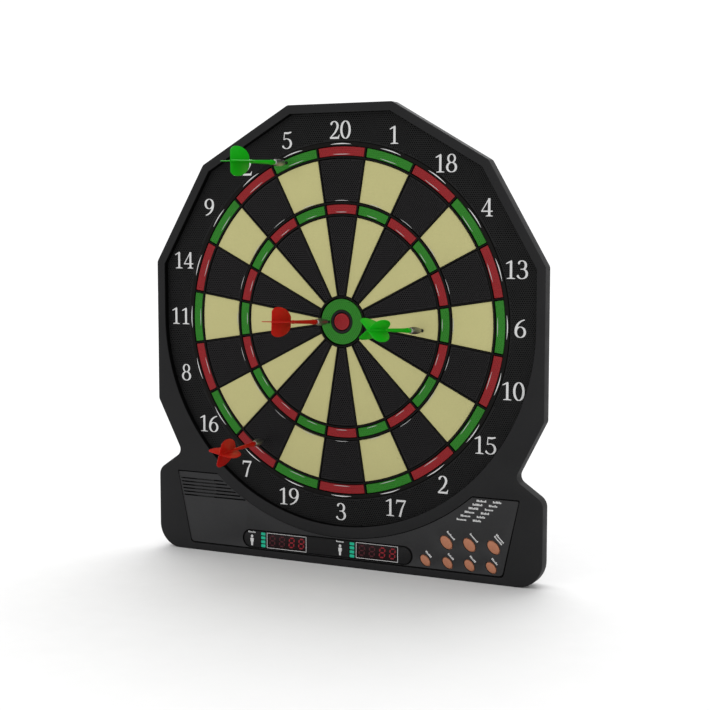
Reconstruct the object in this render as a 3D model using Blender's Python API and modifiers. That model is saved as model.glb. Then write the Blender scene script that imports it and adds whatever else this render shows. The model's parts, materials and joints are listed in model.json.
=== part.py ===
"""Electronic dartboard: housing, target, console electronics, buttons and four darts.

Frame: metres, +Z up, the player stands on the -Y side and +X is to the player's right.
The origin is on the rear (wall) plane, straight behind the centre of the bull.
"""

import math

import bmesh
import bpy
from mathutils import Matrix, Vector

MM = 0.001
GAP = 0.3 * MM
PAST = 1 * MM  # how far a cutter runs past the face that it opens

# ---- depth levels along Y, from the player's side to the wall ----
Y_RIM = -26.0 * MM
Y_PANEL = -24.8 * MM
Y_WINDOW = -23.7 * MM
Y_PLATE_BACK = -23.4 * MM
Y_SPIDER = -20.5 * MM
Y_TARGET = -19.5 * MM
Y_RING_BACK = -17.5 * MM
Y_SPIDER_BACK = -13.4 * MM
Y_HOUSING_BACK = -14.2 * MM
Y_FLANGE_BACK = -12.2 * MM
Y_WEB_FRONT = -12.6 * MM
Y_WEB_BACK = -11.0 * MM
Y_MAT = (-9.0 * MM, -7.5 * MM)
Y_MEMBRANE = (-7.2 * MM, -6.7 * MM)
Y_BACKPLATE = (-6.4 * MM, -2.5 * MM)
Y_COVER_INNER = -2.2 * MM
Y_WALL = 0.0

# ---- housing outline, right half, from the top down: x, z, corner radius ----
APOTHEM = 212.5 * MM
BASE_Z = -243.9 * MM
WALL = 2.4 * MM
VERTEX_RADIUS = 6 * MM
SIDE_END_Z = -86.6 * MM
WAIST = (184.4 * MM, -141.65 * MM, 8 * MM)
SHOULDER_Z = -161.2 * MM
SHOULDER_RADIUS = 12 * MM
FOOT_RADIUS = 25 * MM
COVER_INSET = 5 * MM
COVER_WALL = 2.2 * MM

# ---- target ----
NUMBERS = (20, 1, 18, 4, 13, 6, 10, 15, 2, 17, 3, 19, 7, 16, 8, 11, 14, 9, 12, 5)
SECTOR = math.radians(18)
CHORDS = 3
BEZEL_APOTHEM = 203.8 * MM
BEZEL_WALL = 2.6 * MM
SEAT_MARGIN = 1 * MM
RING_APOTHEM = 209.3 * MM
RING_INNER = 176.2 * MM
SPIDER_OUTER = 175.9 * MM
BANDS = {
    "inner_single": (25.9 * MM, 103.3 * MM),
    "triple": (106.3 * MM, 115.0 * MM),
    "outer_single": (118.3 * MM, 159.4 * MM),
    "double": (162.5 * MM, 171.2 * MM),
}
SEGMENT_SIDE = 1.6 * MM
SPIDER_HALF = 0.8 * MM
CELL_CLEARANCE = 0.75 * MM
BULL_OUTER = (9.2 * MM, 23.0 * MM)
BULL_INNER = 8.5 * MM
SPIDER_HUB = 23.7 * MM
MAT_RADIUS = 174.5 * MM
BACKPLATE_RADIUS = 175.5 * MM
MEMBRANE_TAIL = (9 * MM, -203 * MM)

# ---- console ----
PANEL_TOP = (190 * MM, -161 * MM)
PANEL_FOOT = (174 * MM, -237 * MM)
PANEL_CIRCLE = 214.6 * MM
SLOT_X = (-112 * MM, 80 * MM)
SLOT_Z = (-235.2 * MM, -215.6 * MM)
WINDOW_BACK = -21.6 * MM
DISPLAY_Y = (-23.1 * MM, -16.6 * MM)
DISPLAY_SIZE = (44.6 * MM, 14.6 * MM)
DISPLAYS = {"display_left": (-60.9 * MM, -226.4 * MM), "display_right": (40.8 * MM, -226.0 * MM)}
LIGHT_SIZE = (5.4 * MM, 15.4 * MM)
LIGHTS = {"status_lights_left": -88.5 * MM, "status_lights_right": 13.1 * MM}
LIGHT_Z = -226.6 * MM
VENT_COUNT = 6
VENT_TOP = -169.3 * MM
VENT_PITCH = 3.5 * MM
VENT_HEIGHT = 1.5 * MM
VENT_LEFT = (-188.3 * MM, 0.2)
VENT_RIGHT_MARGIN = 5 * MM

# ---- buttons: x, z, long and short half axes, all leaning 45 degrees ----
BUTTON_LEAN = math.radians(-45)
BUTTON_FRONT = -26.0 * MM
BUTTON_TOP_ROW = ((115.3, -208.6), (139.0, -208.6), (163.6, -208.6))
BUTTON_LOW_ROW = ((93.3, -228.4), (116.6, -228.4), (139.2, -228.4), (161.4, -228.4))
BUTTON_TOP_AXES = (8.3 * MM, 5.7 * MM)
BUTTON_LOW_AXES = (7.0 * MM, 4.9 * MM)
BUTTON_FLANGE = (-22.9 * MM, -22.1 * MM)
FLANGE_LIP = 1.0 * MM
KEYPAD_X = (84 * MM, 178 * MM)
KEYPAD_Z = (-237 * MM, -198 * MM)
KEYPAD_Y = (-20.2 * MM, -18.7 * MM)
PILL_RADIUS = 3 * MM
PILL_BACK = -16.7 * MM
BOARD_CORNERS = ((-104, -237.5), (182, -237.5), (182, -197), (83, -197), (83, -213), (-104, -213))
BOARD_Y = (-16.3 * MM, -14.7 * MM)
CHIPS = (((20, -225), (14, 14)), ((-30, -226), (9, 9)), ((130, -218), (22, 6)))
CHIP_BACK = -12.7 * MM
# radius and depth of the loudspeaker's turned outline, from its cone to the magnet
SPEAKER_PROFILE = ((0, -2.2), (4, -2.2), (5, -0.6), (13.6, 0), (13.6, -1.2), (9, -2.8), (9, -5), (0, -5))
SPEAKER_PLACE = (-158 * MM, -22.6 * MM, -178 * MM)

# ---- batteries and hatch ----
CELL_RADIUS = 7.1 * MM
CELL_LENGTH = 49.8 * MM
CELL_NUB = (2.7 * MM, 1.3 * MM)
CELL_CHAMFER = 0.7 * MM
CELL_X = -146 * MM
CELL_Y = -9.9 * MM
CELL_Z = (-228.4 * MM, -212.9 * MM, -197.4 * MM)
HATCH_X = (-173.5 * MM, -118.5 * MM)
HATCH_Z = (-235.3 * MM, -189.5 * MM)
BAY_Y = (-16.8 * MM, -1.2 * MM)
BAY_MARGIN = (1.0 * MM, 2.6 * MM)
BAY_INNER_Z = (-236.1 * MM, -189.1 * MM)
BAY_OUTER_Z = (-238.0 * MM, -187.6 * MM)
HATCH_DEPTH = 5.2 * MM
DOOR_GAP = 0.5 * MM
DOOR_Y = (-1.9 * MM, -0.1 * MM)
DOOR_HINGE_Z = -190.9 * MM
DOOR_TOP_Z = -190.3 * MM
KEYHOLE = (60 * MM, 179 * MM)
KEYHOLE_RADIUS = 4.6 * MM
KEYHOLE_SLOT = (2.4 * MM, 9 * MM)
KEYHOLE_DEPTH = 4 * MM

# ---- darts ----
# turned outlines: radius, and distance out of the target's face along the dart
TIP_PROFILE = ((0, 5.7), (1.5, 5.7), (1.15, 0), (0.7, -6.2), (0, -6.8))
BARREL_PROFILE = ((0, 27), (2.3, 27), (3.1, 25), (3.5, 19), (3.4, 12), (2.5, 7), (1.9, 6), (0, 6))
SHAFT_PROFILE = ((0, 114), (1.3, 114), (1.4, 77), (2.3, 30.3), (2.3, 27.3), (0, 27.3))
HOLE_PROFILE = ((0, 3), (1.6, 3), (1.6, -11), (0, -11))
DART_LENGTH = 115 * MM
FIN_THICK = 0.6 * MM
FIN_ROOT = 77 * MM
FIN_ROOT_HALF = 1.0 * MM
FIN_WIDE = 104 * MM
FIN_RADIUS = 13.9 * MM
FIN_TAIL_RADIUS = 9.8 * MM
FIN_STATIONS = 9
# name: entry point x, z on the target face, lean right and up per unit length, roll of the fins
DARTS = {
    "dart_1": ((-61.6 * MM, 156.4 * MM), (0.045, -0.018), 0),
    "dart_2": ((-14.3 * MM, -0.6 * MM), (0.005, 0.061), 0),
    "dart_3": ((86.6 * MM, -5.9 * MM), (-0.022, 0.073), 54),
    "dart_4": ((-89.1 * MM, -124.2 * MM), (0.146, 0.026), -14),
}
DART_COLOURS = {"dart_1": "dart_green", "dart_2": "dart_red", "dart_3": "dart_green", "dart_4": "dart_red"}
STUCK_IN = {"dart_1": "sector_05", "dart_2": "bull_outer", "dart_3": "sector_06", "dart_4": "sector_07"}

COLOURS = {
    "housing_black": ((0.021, 0.021, 0.022, 1), 0.42, 0.0),
    "segment_black": ((0.014, 0.013, 0.013, 1), 0.5, 0.0),
    "segment_cream": ((0.52, 0.5, 0.25, 1), 0.45, 0.0),
    "target_red": ((0.25, 0.022, 0.027, 1), 0.4, 0.0),
    "target_green": ((0.035, 0.18, 0.028, 1), 0.4, 0.0),
    "window_black": ((0.008, 0.008, 0.009, 1), 0.12, 0.0),
    "display_red": ((0.16, 0.008, 0.01, 1), 0.3, 0.0),
    "light_green": ((0.04, 0.5, 0.35, 1), 0.3, 0.0),
    "button_orange": ((0.75, 0.26, 0.1, 1), 0.45, 0.0),
    "dart_green": ((0.01, 0.35, 0.01, 1), 0.35, 0.0),
    "dart_red": ((0.42, 0.012, 0.006, 1), 0.35, 0.0),
    "barrel_metal": ((0.55, 0.55, 0.54, 1), 0.3, 1.0),
    "tip_plastic": ((0.05, 0.05, 0.05, 1), 0.4, 0.0),
    "rubber_grey": ((0.06, 0.06, 0.06, 1), 0.8, 0.0),
    "film": ((0.45, 0.42, 0.3, 1), 0.4, 0.0),
    "board_green": ((0.02, 0.12, 0.05, 1), 0.5, 0.0),
    "hardboard": ((0.2, 0.12, 0.07, 1), 0.8, 0.0),
    "cell_wrap": ((0.05, 0.12, 0.3, 1), 0.35, 0.0),
}


# ---------------------------------------------------------------- scene helpers

def clear_scene():
    for item in list(bpy.data.objects):
        bpy.data.objects.remove(item, do_unlink=True)


def new_collection(name):
    found = bpy.data.collections.get(name) or bpy.data.collections.new(name)
    if name not in bpy.context.scene.collection.children:
        bpy.context.scene.collection.children.link(found)
    return found


def material(name):
    found = bpy.data.materials.get(name)
    if found:
        return found
    colour, roughness, metallic = COLOURS[name]
    found = bpy.data.materials.new(name)
    found.use_nodes = True
    shader = found.node_tree.nodes["Principled BSDF"]
    shader.inputs["Base Color"].default_value = colour
    shader.inputs["Roughness"].default_value = roughness
    shader.inputs["Metallic"].default_value = metallic
    return found


clear_scene()
PARTS = new_collection("electronic_dartboard")
CUTTERS = new_collection("cutters")


def finish(piece, material_name, smooth_angle=None):
    """Gives a sub-part its own material and, if it is round, smooth shading."""
    piece.data.materials.clear()
    piece.data.materials.append(material(material_name))
    if smooth_angle:
        piece.data.shade_smooth()
        piece.data.set_sharp_from_angle(angle=math.radians(smooth_angle))
    return piece


def as_tool(piece):
    """Moves a solid to the cutters, where it only serves Boolean modifiers."""
    for owner in list(piece.users_collection):
        owner.objects.unlink(piece)
    CUTTERS.objects.link(piece)
    piece.hide_render = True
    piece.display_type = 'WIRE'
    return piece


def combine(piece, tool, operation, solver='EXACT'):
    step = piece.modifiers.new(operation.lower(), 'BOOLEAN')
    step.operation = operation
    step.solver = solver
    step.object = as_tool(tool)
    return piece


def cut(piece, tool, solver='EXACT'):
    return combine(piece, tool, 'DIFFERENCE', solver)


def join(piece, tool):
    return combine(piece, tool, 'UNION')


def baked(piece):
    """Applies a piece's modifiers and returns it."""
    evaluated = piece.evaluated_get(bpy.context.evaluated_depsgraph_get())
    mesh = bpy.data.meshes.new_from_object(evaluated)
    piece.modifiers.clear()
    piece.data = mesh
    return piece


def curve_mesh(name, curve):
    """Turns a curve into a closed mesh object, its caps welded on."""
    source = bpy.data.objects.new(name + "_curve", curve)
    PARTS.objects.link(source)
    bpy.context.view_layer.update()
    evaluated = source.evaluated_get(bpy.context.evaluated_depsgraph_get())
    mesh = bpy.data.meshes.new_from_object(evaluated)
    bpy.data.objects.remove(source)
    work = bmesh.new()
    work.from_mesh(mesh)
    bmesh.ops.remove_doubles(work, verts=work.verts, dist=0.01 * MM)
    bmesh.ops.recalc_face_normals(work, faces=work.faces)
    work.to_mesh(mesh)
    work.free()
    piece = bpy.data.objects.new(name, mesh)
    PARTS.objects.link(piece)
    return piece


def plate(name, loops, y_front, y_back, origin=(0, 0)):
    """A flat outline in X and Z, with holes, as thick as the two Y levels are apart."""
    curve = bpy.data.curves.new(name, 'CURVE')
    curve.dimensions = '2D'
    curve.fill_mode = 'BOTH'
    curve.extrude = (y_back - y_front) / 2
    for loop in loops:
        spline = curve.splines.new('POLY')
        spline.points.add(len(loop) - 1)
        spline.use_cyclic_u = True
        for point, (x, z) in zip(spline.points, loop):
            point.co = (x - origin[0], z - origin[1], 0, 1)
    piece = curve_mesh(name, curve)
    piece.data.transform(Matrix.Rotation(math.pi / 2, 4, 'X'))
    piece.location = (origin[0], (y_front + y_back) / 2, origin[1])
    bpy.context.view_layer.update()
    return piece


def turned(name, profile, steps=16):
    """A solid of revolution about its own Z; profile points, in millimetres, run from the top down."""
    mesh = bpy.data.meshes.new(name)
    work = bmesh.new()
    points = [work.verts.new((radius * MM, 0, height * MM)) for radius, height in profile]
    for first, second in zip(points, points[1:]):
        work.edges.new((first, second))
    work.to_mesh(mesh)
    work.free()
    piece = bpy.data.objects.new(name, mesh)
    PARTS.objects.link(piece)
    spin = piece.modifiers.new("spin", 'SCREW')
    spin.axis = 'Z'
    spin.steps = steps
    spin.render_steps = steps
    spin.use_merge_vertices = True
    spin.merge_threshold = 0.00001
    bpy.context.view_layer.update()
    return baked(piece)


# ---------------------------------------------------------------- outlines

def circle(radius, count, centre=(0, 0), phase=0.0):
    angles = [phase + math.tau * i / count for i in range(count)]
    return [(centre[0] + radius * math.sin(a), centre[1] + radius * math.cos(a)) for a in angles]


def ellipse(centre, half_long, half_short, lean, count=20):
    points = []
    for i in range(count):
        angle = math.tau * i / count
        along = half_long * math.cos(angle)
        across = half_short * math.sin(angle)
        x = centre[0] + along * math.cos(lean) - across * math.sin(lean)
        z = centre[1] + along * math.sin(lean) + across * math.cos(lean)
        points.append((x, z))
    return points


def box(x_span, z_span):
    return [(x_span[0], z_span[0]), (x_span[1], z_span[0]),
            (x_span[1], z_span[1]), (x_span[0], z_span[1])]


def mirrored_pair(half):
    """Corners of a shape that is symmetric in X, from its right half listed downwards."""
    return half + [(-x, z, radius) for x, z, radius in reversed(half)]


def housing_corners():
    circumradius = APOTHEM / math.cos(math.radians(15))
    half = []
    for degrees in (15, 45, 75):
        angle = math.radians(degrees)
        half.append((circumradius * math.sin(angle), circumradius * math.cos(angle), VERTEX_RADIUS))
    half.append((APOTHEM, SIDE_END_Z, VERTEX_RADIUS))
    half.append(WAIST)
    half.append((APOTHEM, SHOULDER_Z, SHOULDER_RADIUS))
    half.append((APOTHEM, BASE_Z, FOOT_RADIUS))
    return mirrored_pair(half)


def turn_at(before, corner, after):
    first = Vector(corner) - Vector(before)
    second = Vector(after) - Vector(corner)
    return first.x * second.y - first.y * second.x


def inset(corners, distance):
    """Moves every edge of a clockwise outline inwards, and its corner radii with it."""
    count = len(corners)
    moved = []
    for i in range(count):
        before, here, after = corners[i - 1], corners[i], corners[(i + 1) % count]
        into = (Vector(here[:2]) - Vector(before[:2])).normalized()
        out = (Vector(after[:2]) - Vector(here[:2])).normalized()
        normal_in = Vector((into.y, -into.x))
        normal_out = Vector((out.y, -out.x))
        mitre = (normal_in + normal_out) / (1 + normal_in.dot(normal_out))
        point = Vector(here[:2]) + mitre * distance
        convex = turn_at(before[:2], here[:2], after[:2]) < 0
        radius = here[2] - distance if convex else here[2] + distance
        moved.append((point.x, point.y, max(radius, 0.6 * MM)))
    return moved


def rounded(corners, step_degrees=15):
    """Points of an outline whose corners are arcs that meet both edges smoothly."""
    points = []
    count = len(corners)
    for i in range(count):
        before = Vector(corners[i - 1][:2])
        here = Vector(corners[i][:2])
        after = Vector(corners[(i + 1) % count][:2])
        radius = corners[i][2]
        into = (here - before).normalized()
        out = (after - here).normalized()
        bend = into.angle(out)
        reach = radius * math.tan(bend / 2)
        start = here - into * reach
        side = 1 if into.x * out.y - into.y * out.x > 0 else -1
        normal = Vector((-into.y, into.x)) * side
        centre = start + normal * radius
        steps = max(1, round(math.degrees(bend) / step_degrees))
        for k in range(steps + 1):
            angle = side * bend * k / steps
            arm = Matrix.Rotation(angle, 2) @ (start - centre)
            points.append(tuple(centre + arm))
    return points


def target_outline(apothem):
    """Twelve-sided above the centre, round below it, flat to flat twice the apothem."""
    circumradius = apothem / math.cos(math.radians(15))
    upper = []
    for degrees in (-75, -45, -15, 15, 45, 75):
        angle = math.radians(degrees)
        upper.append((circumradius * math.sin(angle), circumradius * math.cos(angle)))
    lower = []
    for i in range(31):
        angle = math.radians(90 + 6 * i)
        lower.append((apothem * math.sin(angle), apothem * math.cos(angle)))
    return upper + lower


def band_outline(inner, outer, side, centre_angle=0.0):
    """A stretch of ring that keeps the same distance to both borders of its sector."""
    points = []
    for radius, order in ((inner, 1), (outer, -1)):
        half = SECTOR / 2 - math.asin(side / radius)
        for k in range(CHORDS + 1):
            angle = order * (-half + 2 * half * k / CHORDS)
            points.append((radius * math.sin(centre_angle + angle),
                           radius * math.cos(centre_angle + angle)))
    return points


def panel_outline():
    """The sunken console panel, bounded above by the ring around the target."""
    top_x, top_z = PANEL_TOP
    meet_x = math.sqrt(PANEL_CIRCLE ** 2 - top_z ** 2)
    start = math.atan2(meet_x, top_z)
    arc = []
    for i in range(17):
        angle = start + (math.tau - 2 * start) * i / 16
        arc.append((PANEL_CIRCLE * math.sin(angle), PANEL_CIRCLE * math.cos(angle)))
    return [(-top_x, top_z), (-PANEL_FOOT[0], PANEL_FOOT[1]),
            (PANEL_FOOT[0], PANEL_FOOT[1]), (top_x, top_z)] + arc


def slot_outline(margin=0.0):
    left, right = SLOT_X[0] + margin, SLOT_X[1] - margin
    low, high = SLOT_Z[0] + margin, SLOT_Z[1] - margin
    radius = (high - low) / 2 - 0.1 * MM
    corners = [(left, high, radius), (right, high, radius), (right, low, radius), (left, low, radius)]
    return rounded(corners, 22.5)


def vent_outline(index):
    """One vent slot, from the panel's slanting left edge to the ring around the target."""
    z = VENT_TOP - VENT_PITCH * index
    left = VENT_LEFT[0] - VENT_LEFT[1] * (z - VENT_TOP)
    right = -math.sqrt(PANEL_CIRCLE ** 2 - z ** 2) - VENT_RIGHT_MARGIN
    return box((left, right), (z - VENT_HEIGHT / 2, z + VENT_HEIGHT / 2))


def button_places():
    """Name, centre and half axes of each push button."""
    places = []
    rows = (("button_top", BUTTON_TOP_ROW, BUTTON_TOP_AXES), ("button_low", BUTTON_LOW_ROW, BUTTON_LOW_AXES))
    for prefix, row, axes in rows:
        for index, (x, z) in enumerate(row):
            places.append((f"{prefix}_{index + 1}", (x * MM, z * MM), axes))
    return places


# ---------------------------------------------------------------- housing

def make_front_housing():
    corners = housing_corners()
    front = plate("front_housing", [rounded(corners)], Y_RIM, Y_HOUSING_BACK)
    bezel_back = target_outline(BEZEL_APOTHEM + BEZEL_WALL)
    hollow = [rounded(inset(corners, WALL)), bezel_back]
    seat = [target_outline(BEZEL_APOTHEM + BEZEL_WALL + SEAT_MARGIN)]
    through = (Y_RIM - 3 * PAST, Y_PLATE_BACK + 3 * PAST)
    tools = [
        plate("cut_hollow", hollow, Y_PLATE_BACK, Y_HOUSING_BACK + PAST),
        plate("cut_ring_seat", seat, Y_TARGET - GAP, Y_HOUSING_BACK + 2 * PAST),
        plate("cut_opening", [target_outline(BEZEL_APOTHEM)], Y_RIM - PAST, Y_TARGET + PAST),
        plate("cut_panel", [panel_outline()], Y_RIM - 2 * PAST, Y_PANEL),
        plate("cut_slot", [slot_outline()], *through),
    ]
    for name, centre, axes in button_places():
        hole = ellipse(centre, axes[0] + GAP, axes[1] + GAP, BUTTON_LEAN)
        tools.append(plate("cut_" + name, [hole], *through))
    for index in range(VENT_COUNT):
        tools.append(plate(f"cut_vent_{index}", [vent_outline(index)], *through))
    for tool in tools:
        cut(front, tool, 'MANIFOLD')
    return finish(front, "housing_black")


def keyhole_outline(side):
    """A round entry with a narrow slot above it, in which a screw's neck hangs."""
    x, z = side * KEYHOLE[0], KEYHOLE[1]
    half, rise = KEYHOLE_SLOT
    start = math.asin(half / KEYHOLE_RADIUS)
    points = []
    for i in range(13):
        angle = start + (math.tau - 2 * start) * i / 12
        points.append((x + KEYHOLE_RADIUS * math.sin(angle), z + KEYHOLE_RADIUS * math.cos(angle)))
    for i in range(7):
        angle = -math.pi / 2 + math.pi * i / 6
        points.append((x + half * math.sin(angle), z + rise + half * math.cos(angle)))
    return points


def make_rear_cover():
    corners = housing_corners()
    cover = plate("rear_cover", [rounded(inset(corners, 0.2 * MM))],
                  Y_HOUSING_BACK + GAP, Y_FLANGE_BACK)
    tray = [rounded(inset(corners, COVER_INSET))]
    join(cover, plate("tray", tray, Y_HOUSING_BACK + PAST, Y_WALL))
    hollow = [rounded(inset(corners, COVER_INSET + COVER_WALL))]
    cut(cover, plate("cut_tray", hollow, Y_HOUSING_BACK - PAST, Y_COVER_INNER))
    bay = [box((HATCH_X[0] - BAY_MARGIN[1], HATCH_X[1] + BAY_MARGIN[1]), BAY_OUTER_Z),
           box((HATCH_X[0] - BAY_MARGIN[0], HATCH_X[1] + BAY_MARGIN[0]), BAY_INNER_Z)]
    join(cover, plate("battery_bay", bay, *BAY_Y))
    cut(cover, plate("cut_hatch", [box(HATCH_X, HATCH_Z)], -HATCH_DEPTH, Y_WALL + PAST))
    for side in (-1, 1):
        cut(cover, plate(f"cut_keyhole_{side + 1}", [keyhole_outline(side)], -KEYHOLE_DEPTH, Y_WALL + PAST))
    return finish(cover, "housing_black")


def make_battery_door():
    x_span = (HATCH_X[0] + DOOR_GAP, HATCH_X[1] - DOOR_GAP)
    z_span = (HATCH_Z[0] + DOOR_GAP, DOOR_TOP_Z)
    hinge = (sum(x_span) / 2, DOOR_HINGE_Z)
    door = plate("battery_door", [box(x_span, z_span)], *DOOR_Y, origin=hinge)
    return finish(door, "housing_black")


def make_cells():
    half, radius = CELL_LENGTH / 2 / MM, CELL_RADIUS / MM
    nub_radius, nub_height = (value / MM for value in CELL_NUB)
    chamfer = CELL_CHAMFER / MM
    shoulder = half - nub_height
    profile = [(0, half), (nub_radius, half), (nub_radius, shoulder), (radius - chamfer, shoulder),
               (radius, shoulder - chamfer), (radius, -half + chamfer), (radius - chamfer, -half), (0, -half)]
    for index, z in enumerate(CELL_Z):
        cell = turned(f"battery_{index + 1}", profile)
        turn = math.pi / 2 if index % 2 else -math.pi / 2
        cell.rotation_euler = (0, turn, 0)
        cell.location = (CELL_X, CELL_Y, z)
        finish(cell, "cell_wrap", 40)


# ---------------------------------------------------------------- target

def make_number_ring():
    loops = [target_outline(RING_APOTHEM), circle(RING_INNER, 60, phase=SECTOR / 2)]
    return finish(plate("number_ring", loops, Y_TARGET, Y_RING_BACK), "segment_black")


def make_spider():
    """A flat grille: one disc with a pocket for every segment."""
    loops = [circle(SPIDER_OUTER, 60, phase=SECTOR / 2), circle(SPIDER_HUB, 20, phase=SECTOR / 2)]
    for index in range(len(NUMBERS)):
        for inner, outer in BANDS.values():
            pocket = (inner - CELL_CLEARANCE, outer + CELL_CLEARANCE)
            loops.append(band_outline(*pocket, SPIDER_HALF, index * SECTOR))
    return finish(plate("spider", loops, Y_SPIDER, Y_SPIDER_BACK), "segment_black")


def make_sector_master():
    """The four target fields of one number on the web that carries them."""
    web_inner = BANDS["inner_single"][0] + 1 * MM
    web_outer = BANDS["double"][1] - 1 * MM
    sector = plate("sector_master", [band_outline(web_inner, web_outer, SEGMENT_SIDE + 0.4 * MM)],
                   Y_WEB_FRONT, Y_WEB_BACK)
    for name, (inner, outer) in BANDS.items():
        outline = band_outline(inner, outer, SEGMENT_SIDE)
        join(sector, plate("field_" + name, [outline], Y_TARGET, Y_WEB_FRONT + 0.8 * MM))
    return as_tool(baked(sector))


def make_sectors():
    master = make_sector_master()
    for index, number in enumerate(NUMBERS):
        sector = bpy.data.objects.new(f"sector_{number:02d}", master.data.copy())
        PARTS.objects.link(sector)
        sector.location = master.location
        sector.rotation_euler = (0, index * SECTOR, 0)
        finish(sector, "segment_black" if index % 2 == 0 else "segment_cream")
    bpy.data.objects.remove(master)


def make_bull():
    outer_loops = [circle(BULL_OUTER[1], 20, phase=SECTOR / 2), circle(BULL_OUTER[0], 20)]
    finish(plate("bull_outer", outer_loops, Y_TARGET, Y_WEB_BACK), "target_green", 30)
    finish(plate("bull_inner", [circle(BULL_INNER, 20)], Y_TARGET, Y_WEB_BACK), "target_red", 30)


def membrane_outline():
    """A disc with the flat tail that runs down to the control board."""
    half, foot = MEMBRANE_TAIL
    start = math.pi + math.asin(half / MAT_RADIUS)
    sweep = math.tau - 2 * math.asin(half / MAT_RADIUS)
    points = []
    for i in range(41):
        angle = start + sweep * i / 40
        points.append((MAT_RADIUS * math.sin(angle), MAT_RADIUS * math.cos(angle)))
    return points + [(half, foot), (-half, foot)]


def make_matrix():
    disc = [circle(MAT_RADIUS, 40)]
    finish(plate("rubber_mat", disc, *Y_MAT), "rubber_grey")
    finish(plate("contact_membrane", [membrane_outline()], *Y_MEMBRANE), "film")
    finish(plate("matrix_backplate", [circle(BACKPLATE_RADIUS, 40)], *Y_BACKPLATE), "hardboard")


# ---------------------------------------------------------------- console

def block(centre, size):
    half_x, half_z = size[0] / 2, size[1] / 2
    return box((centre[0] - half_x, centre[0] + half_x), (centre[1] - half_z, centre[1] + half_z))


def make_displays():
    window = plate("display_window", [slot_outline(GAP)], Y_WINDOW, WINDOW_BACK)
    for name, centre in DISPLAYS.items():
        display = plate(name, [block(centre, DISPLAY_SIZE)], *DISPLAY_Y)
        finish(display, "display_red")
        hole = block(centre, (DISPLAY_SIZE[0] + 2 * GAP, DISPLAY_SIZE[1] + 2 * GAP))
        cut(window, plate("cut_" + name, [hole], Y_WINDOW - PAST, WINDOW_BACK + PAST))
    for name, x in LIGHTS.items():
        light = plate(name, [block((x, LIGHT_Z), LIGHT_SIZE)], *DISPLAY_Y)
        finish(light, "light_green")
        hole = block((x, LIGHT_Z), (LIGHT_SIZE[0] + 2 * GAP, LIGHT_SIZE[1] + 2 * GAP))
        cut(window, plate("cut_" + name, [hole], Y_WINDOW - PAST, WINDOW_BACK + PAST))
    return finish(window, "window_black")


def make_buttons():
    for name, centre, axes in button_places():
        cap = plate(name, [ellipse(centre, *axes, BUTTON_LEAN)], BUTTON_FRONT,
                    BUTTON_FLANGE[0] + 0.4 * MM, origin=centre)
        lip = ellipse(centre, axes[0] + FLANGE_LIP, axes[1] + FLANGE_LIP, BUTTON_LEAN)
        join(cap, plate("lip_" + name, [lip], *BUTTON_FLANGE))
        finish(cap, "button_orange", 30)


def make_keypad():
    keypad = plate("keypad_mat", [box(KEYPAD_X, KEYPAD_Z)], *KEYPAD_Y)
    for name, centre, axes in button_places():
        pill = circle(PILL_RADIUS, 10, centre)
        join(keypad, plate("pill_" + name, [pill], KEYPAD_Y[1] - PAST / 2, PILL_BACK))
    return finish(keypad, "rubber_grey")


def make_control_board():
    outline = [(x * MM, z * MM) for x, z in BOARD_CORNERS]
    board = plate("control_board", [outline], *BOARD_Y)
    for index, (centre, size) in enumerate(CHIPS):
        chip = block((centre[0] * MM, centre[1] * MM), (size[0] * MM, size[1] * MM))
        join(board, plate(f"chip_{index}", [chip], BOARD_Y[1] - PAST / 2, CHIP_BACK))
    return finish(board, "board_green")


def make_speaker():
    speaker = turned("speaker", SPEAKER_PROFILE, 24)
    speaker.rotation_euler = (math.pi / 2, 0, 0)
    speaker.location = SPEAKER_PLACE
    return finish(speaker, "rubber_grey", 40)


# ---------------------------------------------------------------- darts

def fin_half_width(s):
    """Distance of a fin's edge from the dart's axis, at a place along the axis."""
    if s < FIN_WIDE:
        rise = (s - FIN_ROOT) / (FIN_WIDE - FIN_ROOT)
        return FIN_ROOT_HALF + (FIN_RADIUS - FIN_ROOT_HALF) * math.sin(rise * math.pi / 2) ** 0.9
    fall = (s - FIN_WIDE) / (DART_LENGTH - FIN_WIDE)
    return FIN_RADIUS - (FIN_RADIUS - FIN_TAIL_RADIUS) * fall ** 2


def fin_outline():
    """Both fins of one plane, in X across the dart and Z along it."""
    step = (DART_LENGTH - FIN_ROOT) / FIN_STATIONS
    stations = [FIN_ROOT + step * i for i in range(FIN_STATIONS + 1)]
    right = [(fin_half_width(s), s) for s in stations]
    left = [(-x, s) for x, s in reversed(right)]
    return right + left


def dart_frame(name):
    """An empty at the dart's entry point, its Z pointing out along the dart."""
    entry, lean, roll = DARTS[name]
    out = Vector((lean[0], -math.sqrt(1 - lean[0] ** 2 - lean[1] ** 2), lean[1]))
    holder = bpy.data.objects.new(name + "_axis", None)
    PARTS.objects.link(holder)
    up = Vector((0, 0, 1))
    side = up.cross(out).normalized()
    top = out.cross(side)
    basis = Matrix((side, top, out)).transposed().to_4x4()
    turn = Matrix.Rotation(math.radians(roll), 4, 'Z')
    holder.matrix_world = Matrix.Translation((entry[0], Y_TARGET, entry[1])) @ basis @ turn
    bpy.context.view_layer.update()
    return holder


def make_dart(name):
    holder = dart_frame(name)
    tip = finish(turned(name + "_tip", TIP_PROFILE, 10), "tip_plastic", 40)
    barrel = finish(turned(name + "_barrel", BARREL_PROFILE, 14), "barrel_metal", 40)
    flight = turned(name + "_flight", SHAFT_PROFILE, 10)
    for quarter in range(2):
        fin = plate(f"{name}_fin_{quarter}", [fin_outline()], -FIN_THICK / 2, FIN_THICK / 2)
        fin.rotation_euler = (0, 0, quarter * math.pi / 2)
        fin.parent = holder
        join(flight, fin)
    finish(flight, DART_COLOURS[name], 30)
    for piece in (tip, barrel, flight):
        piece.parent = holder


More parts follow.
